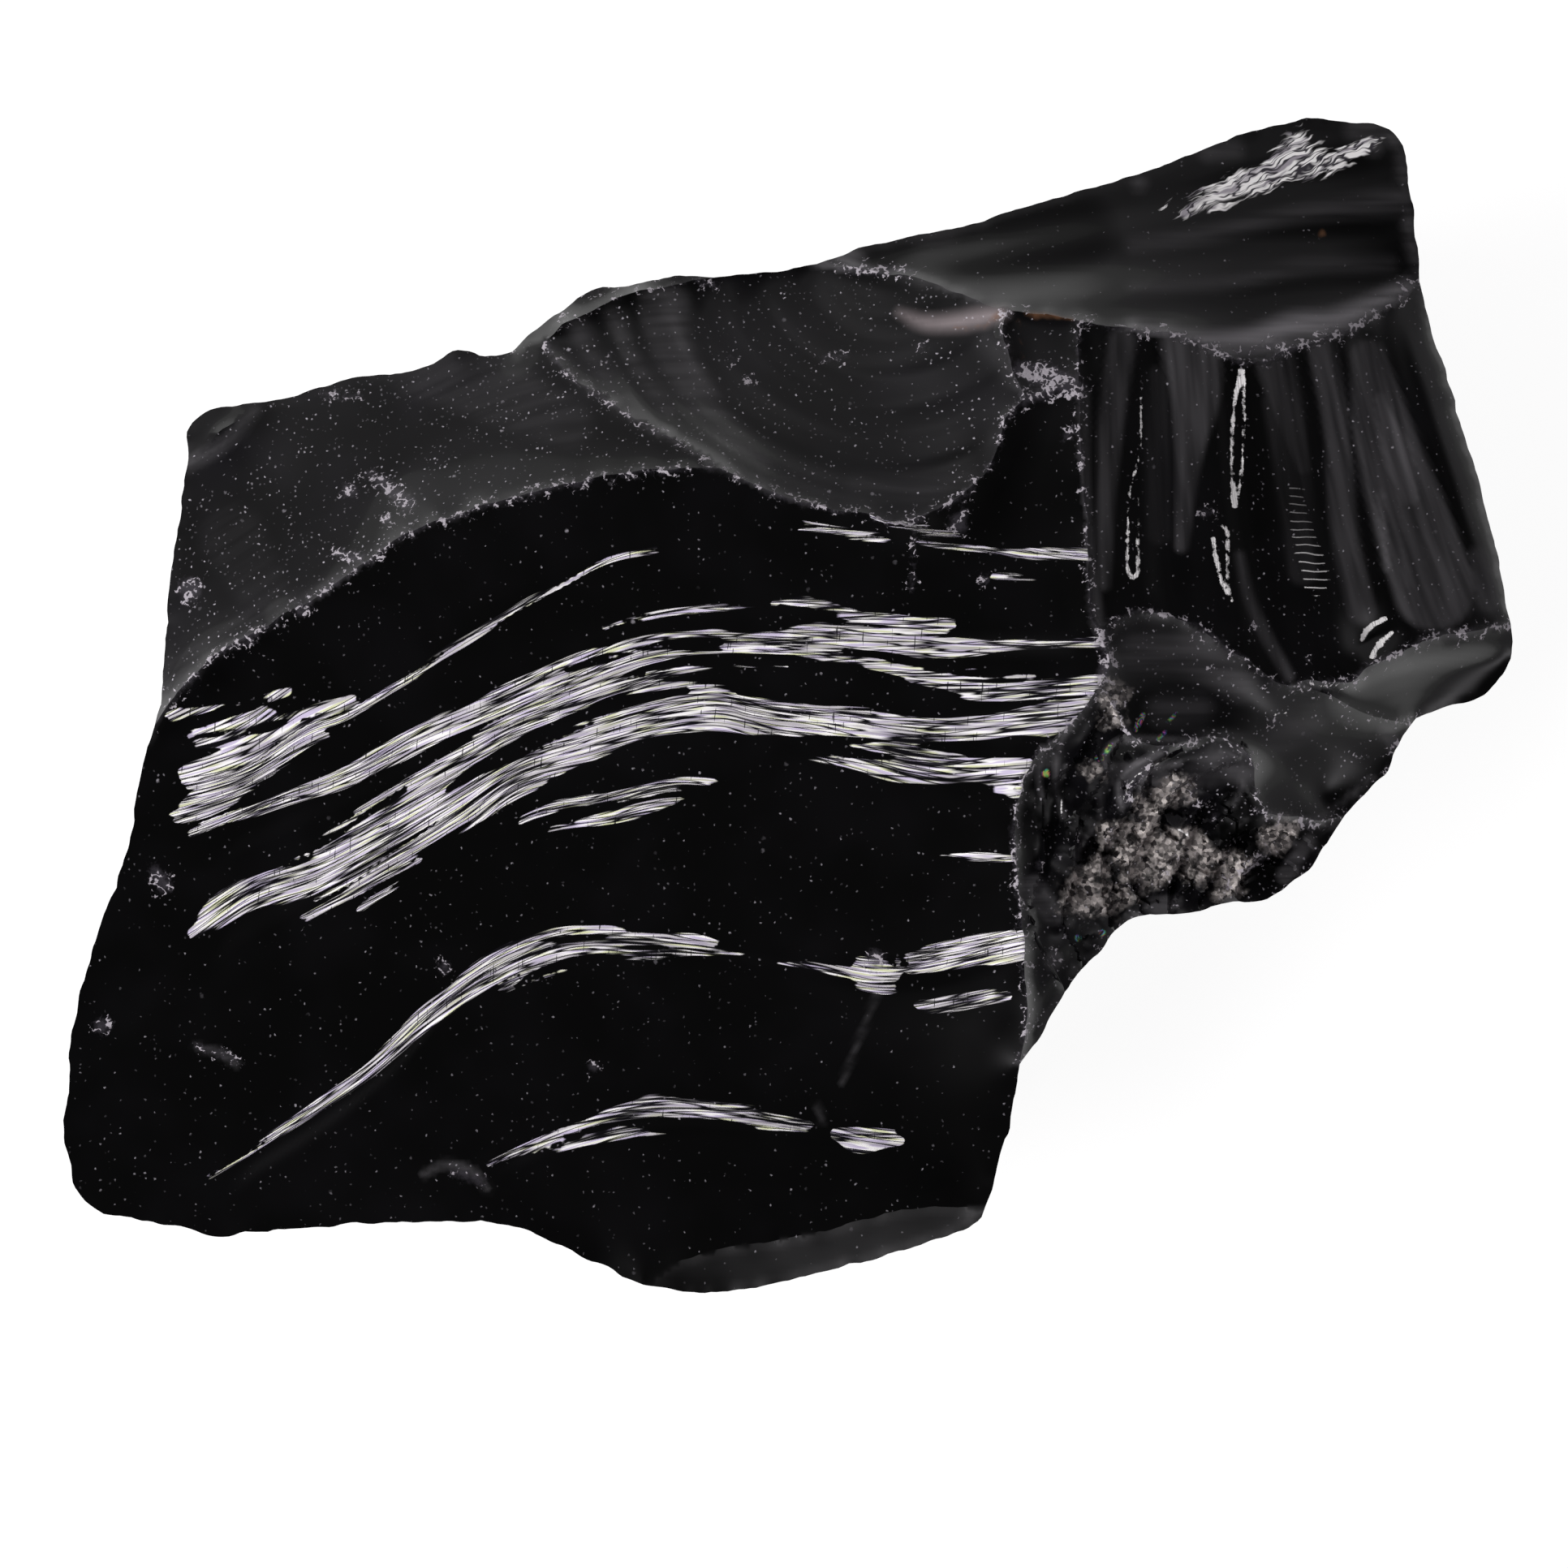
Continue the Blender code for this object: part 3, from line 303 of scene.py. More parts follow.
flanks = {
    "rows": 44,
    # the foot's reach as a share of the rim's, by degrees round, its most, and the blur that rounds it
    "footShare": [
        (0, 0.95), (20, 0.90), (41, 0.95), (70, 0.88), (105, 0.84), (135, 0.89), (160, 0.95), (190, 0.86),
        (219, 0.95), (243, 0.86), (266, 0.94), (290, 0.87), (315, 0.92), (338, 0.86),
    ],
    "footMost": 0.975, "blurDeg": 11.0, "leanStart": 0.8,
    "rimBand": 0.32,  # scars are at full depth this share of the way down
    # middle and half width in degrees, middle and half height as shares of the way down, depth in mm
    "scars": [
        (8, 26, 0.3, 0.75, 2.2), (20, 15, 0.85, 0.5, 2), (44, 16, 0.45, 0.9, 2.4), (66, 15, 0.35, 0.6, 1.7),
        (75, 22, 0.95, 0.6, 2.2), (98, 21, 0.5, 0.8, 2.3), (118, 15, 0.9, 0.55, 1.6),
        (131, 20, 0.3, 0.65, 1.9), (152, 18, 0.8, 0.8, 2.3), (170, 19, 0.35, 0.6, 1.7),
        (190, 22, 0.75, 0.75, 2.2), (208, 18, 0.3, 0.7, 2), (226, 20, 0.8, 0.75, 2.3),
        (245, 17, 0.35, 0.75, 1.9), (263, 21, 0.85, 0.65, 2.1), (280, 18, 0.35, 0.8, 2.1),
        (299, 15, 0.8, 0.7, 1.6), (316, 17, 0.4, 0.85, 1.8), (338, 19, 0.65, 0.9, 2.3),
    ],
    # ripples in the scars: their length and height, and the size of a degree and of the whole way down
    "ripple": (2.0, 0.02), "degree": 0.44, "fall": 15.0,
    # smaller chips: how many and the turn from one to the next, then the least, the spread and the stride
    # through the spread of level, half width, half height and depth
    "chips": {
        "count": 26, "turn": 137.5, "level": (0.12, 0.83, 0.618), "width": (5.0, 4.5, 0.73),
        "height": (0.14, 0.16, 0.41), "depth": (0.5, 0.6, 0.29),
    },
    # grain: its height, its size round, how many fit in the way down, and how soon it starts below the rim
    "grain": {"height": 0.03, "degrees": 2.2, "rounds": 9, "start": 6, "seed": 71},
}

# Marks are strokes, (x, y, width) along the middle of each. They are laid out on a level plane at this
# height, and fall on the stone along a slightly tilted line, as a light far above would cast them.
cast = {"height": 17.0, "leanDeg": 6.0, "away": 447.2, "middle": (-0.16, -4.35)}

# Bruised ridges: how far the white crush spreads from each.
bruises = {
    "spurTop": 0.12, "spurUpper": 0.11, "spurKnee": 0.34, "crushedTop": 0.4, "spurLower": 0.16,
    "scarFront": 0.16, "scarLeft": 0.16, "scarRight": 0.18, "wingFront": 0.22, "lobeTop": 0.14,
    "slabTop": 0.22, "slabFront": 0.05, "lobeFront": 0.16, "crestLeft": 0.17, "stepB": 0,
    "rimBackStep": 0.02, "rimNotch": 0, "rimLobe": 0.1,
}

marks = {
    "streakHighlight": [  # painted highlights: bundles of fine fibres in the main face
        [(-19.8, -2, 0.67), (-18.1, -1.4, 0.73), (-16.8, -0.7, 0.47), (-15.1, 0.4, 0.4), (-12.4, 2.1, 0.33),
         (-9.4, 3.8, 0.36), (-7.7, 4.8, 0.36), (-6.5, 5.2, 0.3), (-5.4, 5.4, 0.2)],
        [(-25.4, -1.5, 0.3), (-24.2, -1.3, 0.4), (-22.8, -1.1, 0.4), (-21.6, -0.7, 0.25),
         (-20.6, -0.5, 0.1)],
        [(-24.3, -2.4, 0.8), (-22.5, -2.3, 1.67), (-20.5, -2, 1.33), (-17.9, -1.1, 0.8)],
        [(-24.4, -4, 1.2), (-22.8, -3.7, 1.67), (-21.2, -3.2, 1), (-19.1, -2.2, 0.53)],
        [(-24.9, -5.6, 0.8), (-23.9, -5.1, 1.33), (-22.5, -4.5, 0.67), (-21.2, -3.9, 0.2)],
        [(-24.4, -6.5, 0.47), (-21.5, -5.3, 0.47), (-19.8, -4.7, 0.6), (-18.1, -4.1, 0.93),
         (-15.1, -2.5, 1.2), (-12.4, -1.4, 1.33), (-9, 0, 1.87), (-7.4, 0.6, 1.67), (-5.7, 1.2, 1.33),
         (-4, 1.5, 1), (-0.7, 1.6, 1), (2.6, 1.6, 1.27), (6, 1.3, 1.13), (7.6, 1.3, 0.8), (9.3, 1.4, 0.47),
         (12.7, 1.5, 0.33)], [(-5.7, 0.2, 0.33), (-3.7, 0.5, 0.23), (-1.7, 0.6, 0.2), (0, 0.5, 0.07)],
        [(0.6, 1, 0.2), (2.6, 0.9, 0.33), (4.3, 0.4, 0.53), (6, -0.1, 0.73), (7.6, -0.4, 0.87),
         (11, -0.5, 0.87), (12.9, -0.1, 0.67)], [(5.3, 0.5, 0.2), (7.6, 0.4, 0.2), (10, 0.1, 0.07)],
        [(-24.4, -10.5, 0.47), (-23.2, -9.5, 1.13), (-21.9, -8.8, 1.33), (-19.2, -7.9, 1.87),
         (-16.4, -5.9, 2.33), (-13.7, -3.8, 2.8), (-12.4, -2.8, 2.67), (-11, -2.2, 2.33), (-9, -1.4, 1.67),
         (-7.4, -0.9, 1.33), (-5.7, -0.5, 1), (-4, -0.5, 0.67), (-2.4, -0.6, 0.47)],
        [(-18.1, -8.9, 0.33), (-16.8, -8.1, 0.53), (-15.1, -6.8, 0.67), (-13.7, -5.8, 0.87),
         (-12.4, -5, 1.2), (-10.7, -4, 1.33), (-9, -3.1, 1.33), (-5.7, -1.8, 1.53), (-2.4, -1.5, 1.47),
         (1, -1.7, 1.33), (4.3, -2, 1.2), (7.6, -2.1, 1), (9.3, -1.9, 1.13), (11, -1.5, 1.47),
         (12.1, -1.1, 1.67)], [(-19.8, -9.9, 0.33), (-18.5, -9.2, 0.47), (-17.1, -8.6, 0.27)],
        [(-21.2, -11, 0.13), (-20.2, -10.7, 0.27), (-19.7, -10.2, 0.1)],
        [(-17.5, -9.4, 0.27), (-16.5, -8.6, 0.33), (-15.1, -7.6, 0.13)],
        [(0, -2.9, 0.13), (1.3, -3.1, 0.27), (2.6, -3.4, 0.4), (4, -3.7, 0.87), (5.3, -3.8, 1.13),
         (7, -3.9, 1.13), (9.7, -3.7, 1)],
        [(2.6, -2.8, 0.2), (4.3, -2.9, 0.67), (6, -3.1, 0.47), (7.3, -3.1, 0.1)],
        [(5, -4.2, 0.27), (7.6, -4.3, 0.27), (9.4, -4.5, 0.8)],
        [(-7.5, 2.1, 0.1), (-5.7, 2.6, 0.13), (-3.7, 2.9, 0.17), (-2.2, 3, 0.27), (-0.5, 3, 0.13)],
        [(-0.7, 3.2, 0.2), (1, 3.1, 0.4), (2.6, 2.7, 0.53), (4.3, 2.4, 0.6), (6, 2.2, 0.47),
         (6.8, 2.2, 0.1)], [(0.6, 6.3, 0.22), (2.3, 6.1, 0.32), (4, 5.8, 0.22)],
        [(5.5, 5.7, 0.22), (7.3, 5.4, 0.34), (9, 5.2, 0.44), (11, 5.2, 0.47), (12.4, 5.1, 0.4)],
        [(8.5, 4.3, 0.22), (10, 4.2, 0.32), (12.2, 4.1, 0.34)],
        [(3.6, 6.7, 0.22), (5.3, 6.3, 0.34), (7, 5.9, 0.24)],
        [(-10.9, -5.8, 0.2), (-9.4, -5.2, 0.45), (-7.7, -4.9, 0.5), (-5.7, -4.5, 0.5), (-4, -4.2, 0.45),
         (-2.9, -4.2, 0.15)], [(-9.8, -6.1, 0.2), (-7.7, -5.7, 0.5), (-5.7, -5.3, 0.5), (-3.4, -4.7, 0.15)],
        [(6, -7.3, 0.13), (7, -7.3, 0.4), (8.1, -7.3, 0.47), (9.2, -7.4, 0.2)],
        [(-23.8, -20.5, 0.27), (-22.6, -19.9, 0.4), (-20.9, -18.7, 0.47), (-17.5, -16.4, 0.6),
         (-16.2, -15.3, 0.73), (-14.8, -14, 0.93), (-13.4, -13, 1), (-12.1, -12, 1.33),
         (-10.7, -11.3, 1.47), (-9.1, -10.9, 1.33), (-7.4, -10.7, 1), (-5.7, -10.9, 0.67),
         (-4, -10.8, 0.67), (-3, -11, 0.2)],
        [(-11.8, -12.7, 0.4), (-9.7, -12, 0.53), (-7.7, -11.4, 0.47), (-5.7, -11.4, 0.47),
         (-3.7, -11.3, 0.33), (-1, -11.4, 0.13)],
        [(-0.4, -11.7, 0.13), (1, -11.8, 0.27), (2.6, -12.1, 0.47)],
        [(4.7, -11.8, 0.8), (6.3, -11.5, 1.13), (7.7, -11.2, 1.2), (9.7, -11, 1.2)],
        [(5.4, -13.5, 0.5), (6.7, -13.4, 0.7), (9, -13.1, 0.6)],
        [(-12.3, -20, 0.27), (-10.8, -19.4, 0.53), (-9.1, -18.7, 0.67), (-7.4, -18.2, 0.87),
         (-5.7, -17.8, 1.33), (-4, -17.8, 1.33), (-2.4, -18, 1), (-0.7, -18.2, 0.73), (0.8, -18.4, 0.4)],
        [(-10.8, -19.7, 0.17), (-9.1, -19.2, 0.27), (-7.1, -18.9, 0.2), (-5, -18.7, 0.1)],
        [(2.1, -18.8, 0.6), (3, -19, 1.15), (4.3, -18.9, 0.8)], [(3.1, -12.1, 1.2), (4, -12.3, 1.3)],
    ],
    "glint": [  # painted glints on fine fibres on the flutes and round the curled pit
        [(18.7, 12.8, 0.4), (18.4, 11.3, 0.27), (18.3, 9.5, 0.25), (18.3, 8.2, 0.27), (18.4, 7.2, 0.36)],
        [(18.8, 12.5, 0.25), (18.8, 10.4, 0.22), (18.7, 8.7, 0.22), (18.5, 7.2, 0.27)],
        [(14.6, 12.9, 0.18), (14.5, 9.5, 0.2), (14.1, 7.8, 0.2), (14, 6, 0.22), (14, 4.6, 0.27),
         (14.2, 4.2, 0.31), (14.4, 4.6, 0.27), (14.4, 6, 0.2), (14.4, 7.5, 0.18)],
        [(17.5, 5.8, 0.27), (17.6, 5.1, 0.29), (17.9, 3.9, 0.27), (18.3, 3.2, 0.22)],
        [(17.9, 6.3, 0.29), (18.1, 6.1, 0.27), (18.1, 5.3, 0.25), (18.1, 3.9, 0.22), (18.3, 3.2, 0.2)],
        [(23.6, 1.6, 0.29), (23.9, 2.1, 0.34), (24.6, 2.5, 0.27)],
        [(24, 0.9, 0.29), (24.3, 1.4, 0.36), (24.8, 1.9, 0.29)], [(20, -1.5, 0.2), (20.5, -1.4, 0.16)],
        [(21, 0.1, 0.18), (21.8, -0.3, 0.2), (22.8, -0.2, 0.18)],
        [(15.3, -3.5, 0.16), (14.6, -3.8, 0.18), (14, -4.4, 0.18), (13.7, -5.2, 0.16)],
        [(15, -3.9, 0.14), (14.4, -4.3, 0.18), (14.1, -5, 0.14)],
        [(13.4, -3.2, 0.14), (14.1, -3, 0.16), (15.2, -3, 0.14)],
        [(15.7, -6.2, 0.18), (16.2, -6.3, 0.25), (16.6, -6.6, 0.18)],
        [(11.3, -4.6, 0.18), (11.2, -5.6, 0.23)],
    ],
    "crinkleGlint": [  # painted glint: bent strands at the tip of the wing
        [(15.8, 19.4, 0.25), (16.9, 19.6, 0.6), (17.9, 20.1, 0.9), (18.9, 20.6, 1.2), (19.8, 20.8, 1)],
        [(19.8, 20.8, 1), (20.6, 21.5, 1.5), (21.4, 21.5, 1.5), (22.4, 21.5, 0.9), (23.3, 21.8, 0.7),
         (24.2, 22.1, 0.35)], [(20.6, 21.9, 0.8), (21.1, 22.3, 0.73), (21.3, 22.5, 0.4)],
        [(17.9, 20.8, 0.19), (18.8, 21, 0.57)], [(17.3, 20.3, 0.16), (17.9, 20.5, 0.32)],
    ],
    # painted glints in short level lines on the fluted face
    "ladder": [
        [(20.9, 7.8, 0.76), (21.1, 6.4, 0.89), (21.5, 5.1, 1.25), (21.8, 3.9, 1.11)],
    ],
    "rainbow": [  # thin films inside the shattered glass, which split the light into colours
        [(14.3, -2.1, 0.29), (14.6, -1.5, 0.29)], [(15.2, -2.5, 0.25), (15.5, -2.2, 0.25)],
        [(15.6, -1.8, 0.23), (16, -1.4, 0.2)], [(13.1, -3, 0.29), (13.3, -2.7, 0.25)], [(12.8, -3.3, 0.45)],
        [(10.6, -3.9, 0.45)], [(11.9, -10.7, 0.38)], [(12.9, -10.5, 0.38)],
    ],
    "crystal": [
        [(13.5, -6.6, 1.35), (14.7, -7.2, 2.14), (16.3, -7.2, 1.92), (17.3, -7.5, 0.68)],
        [(11.9, -8.7, 1.35), (13.1, -9.2, 1.13), (13.9, -9.1, 0.45)],
        [(14.8, -5.2, 1.01), (15.9, -4.6, 0.9), (16.5, -4.3, 0.56)],
        [(13.5, -0.6, 0.9), (13.4, -1.5, 0.79)], [(12.4, -3.8, 0.68)], [(12.8, -7.7, 1)],
        [(18.3, -7.9, 1.24), (17.9, -8.8, 0.68)], [(19.8, -6.5, 1.01), (20.6, -6.2, 0.56)],
    ],
    "spot": [  # small bruises away from the ridges
        [(2.2, 17.1, 0.4), (3.4, 17, 0.5), (5.3, 16.9, 0.4)], [(-13.6, -20.3, 0.5), (-12.6, -20.7, 0.5)],
        [(-26, -7.9, 0.51), (-25.6, -8.5, 0.72)], [(-28.1, -14.3, 0.72)],
        [(-24.2, -15.1, 0.17), (-22.7, -15.7, 0.38)], [(-18.1, 7.8, 0.72)],
        [(-17.2, 8.5, 0.43), (-15.7, 7.3, 0.85)], [(-16.5, 6.6, 0.43)], [(-20, 2.9, 0.72)],
        [(-23.1, 1.3, 0.3), (-22.1, 1.6, 0.38)], [(-18.5, 5.2, 0.43), (-17.6, 5, 0.55)],
        [(-6.3, 8.5, 0.38)], [(-8, -16, 0.51)], [(-14.1, -11.9, 0.51)], [(-24.6, 3.7, 1.06)],
        [(-19.1, 11.8, 0.3), (-17.6, 11.7, 0.21)], [(5, 6.5, 0.54), (5.5, 6.7, 0.36)],
        [(7, 6.4, 0.89), (7.2, 6.9, 0.36)], [(5.2, 6.2, 0.13), (5.1, 3.7, 0.18)], [(3.6, -11.6, 0.89)],
        [(8.1, 4.1, 0.45)], [(5.5, 13.8, 0.45)], [(9.9, 15.4, 0.22)],
        [(9.4, 12.9, 0.67), (10.8, 12.5, 1.11), (11.9, 12, 0.89)], [(11.5, 10, 0.4), (11.7, 10.4, 0.22)],
        [(17.1, 6.9, 0.4), (17.4, 6.9, 0.31)], [(17.1, 13.8, 0.22), (18.8, 13.5, 0.31), (20.1, 14, 0.36)],
        [(25.4, 16.4, 0.54)], [(22.4, 14.5, 0.31)], [(-2.3, 13.3, 0.33)], [(-1.6, 12.4, 0.36)],
        [(1.4, 13.3, 0.25), (2.5, 13.4, 0.3)], [(1.1, 8.5, 0.22)], [(-7.3, 13.5, 0.19), (-7.7, 12.8, 0.17)],
        [(-3.7, 16.6, 0.36), (-3, 16.3, 0.28)], [(13.2, -6.5, 0.34)], [(10.3, -7.7, 0.45)],
        [(16.5, -4.4, 0.5), (16.6, -4.7, 0.27)], [(14.3, -8.6, 0.38)], [(15.5, -8.2, 0.34)],
        [(17.5, -5.7, 0.34)], [(16.8, -5.2, 0.29)], [(15.9, -7.5, 0.45)],
        [(14.9, -3.7, 0.4), (14.2, -4.2, 0.5), (13.9, -5.1, 0.4)],
        [(19.2, -5.4, 0.18), (20, -5.7, 0.45), (20.7, -5.9, 0.23), (21.5, -6.1, 0.38), (22.2, -6, 0.18)],
        [(9.3, -6.1, 0.38)], [(9.5, -5.2, 0.34)],
        [(19.6, -6.6, 0.27), (19.5, -7.3, 0.32), (18.2, -8.2, 0.34), (18, -8.7, 0.34)],
        [(23.5, -3.3, 0.25)], [(20, -1.7, 0.41)], [(11.9, -6.6, 0.25)], [(11.1, -7.4, 0.25)],
        [(15.8, -9.2, 0.29)], [(9.5, -9, 0.34), (9.7, -10.1, 0.16)], [(25, -2.7, 0.45), (24.7, -3.1, 0.23)],
        [(17.3, 0.4, 0.29)], [(16.8, 1.9, 0.29)], [(10.9, -11.5, 0.45)], [(13.8, -1.1, 0.34)],
        [(23, -1.8, 0.34)], [(19.2, 2.2, 0.34)], [(21.4, 0.8, 0.16)],
    ],
    # the lens: a painted reflection on a small chip's face
    "hazeAndLensReflection": [
        [(4.6, 15.2, 0.28), (5.6, 14.8, 0.69), (6.8, 14.8, 0.83), (8, 15, 0.83), (8.9, 15.2, 0.55)],
    ],
    "rust": [
        [(6.8, 14.6, 0.22), (8, 14.6, 0.25), (8.9, 15.2, 0.22)],
        [(9.4, 15.2, 0.19), (9.6, 14.1, 0.28), (9.7, 13.1, 0.22)], [(9.8, 15.2, 0.18), (11.7, 15, 0.22)],
        [(5.5, 13.8, 0.36)], [(22.1, 18.5, 0.24)],
    ],
}
markFaces = {"streakHighlight": "main", "glint": "fluted slab crushed lobe"}  # the others lie where they fall
fieldNames = [*marks, "bruise", "sheen", "dust", "dull"]  # what the material reads
ladderPitch = 0.34  # from one rung of the ladder to the next
# Black glass left unlit between the painted highlights of the broad streaks: strokes of the same kind.
streakGaps = [
    [(-18.7, -5.8, 0.21), (-17.1, -4.8, 0.57), (-15.6, -3.8, 0.67), (-14, -2.8, 0.62), (-12.2, -1.7, 0.26)],
    [(-13.9, -4.5, 0.21), (-12.2, -3.5, 0.52), (-10.4, -2.5, 0.67), (-8.6, -1.6, 0.67), (-6.5, -0.9, 0.57),
     (-4.2, -0.6, 0.21)],
    [(-24.7, -2.5, 0.08), (-22.8, -2.2, 0.26), (-20.8, -1.9, 0.29), (-19.2, -1.4, 0.1)],
    [(-21.8, -4.2, 0.08), (-20.2, -3.8, 0.26), (-19, -3.2, 0.31), (-17.4, -2.1, 0.1)],
    [(-20.5, -7.9, 0.16), (-17.9, -6, 0.31), (-15.8, -4.5, 0.21)],
    [(-9.1, 0.4, 0.16), (-7, 1, 0.26), (-5, 1.4, 0.31), (-2.9, 1.5, 0.21)],
    [(-11.2, -10.7, 0.16), (-9.1, -10.7, 0.31), (-7, -10.6, 0.31), (-5.2, -10.8, 0.16)],
    [(1, -0.2, 0.1), (4, -1, 0.33), (7, -1.3, 0.4), (9.6, -1.2, 0.13)],
    [(2.3, 1.2, 0.1), (4.6, 0.8, 0.27), (7, 0.2, 0.3), (9.6, -0.1, 0.13)],
    [(4.6, -11.1, 0.17), (4.8, -11.9, 0.2), (4.7, -12.5, 0.17)],
    [(-9.4, -18.8, 0.1), (-7, -18.4, 0.27), (-4, -18.4, 0.3), (-1.4, -18.5, 0.13)],
    [(-11.7, -13.1, 0.1), (-9.7, -11.9, 0.23), (-7, -11.3, 0.3), (-4.7, -11.3, 0.13)],
]
# Where the glass is finely frosted and mirrors little: how much, how softly it ends, and how near a ridge.
frost = {
    "most": 0.95, "blur": 2.5, "edge": 0.5,
    "strokes": [
        [(2.5, 17.6, 1.5), (5.5, 17.9, 3.5), (9, 18.2, 4.5), (12, 18.6, 3.5)],
        [(-25.6, -1.5, 2), (-24.2, 0.4, 2.4), (-22, 2.2, 1.8)], [(8.2, -15.4, 1.8), (9, -14, 1.2)],
    ],
}
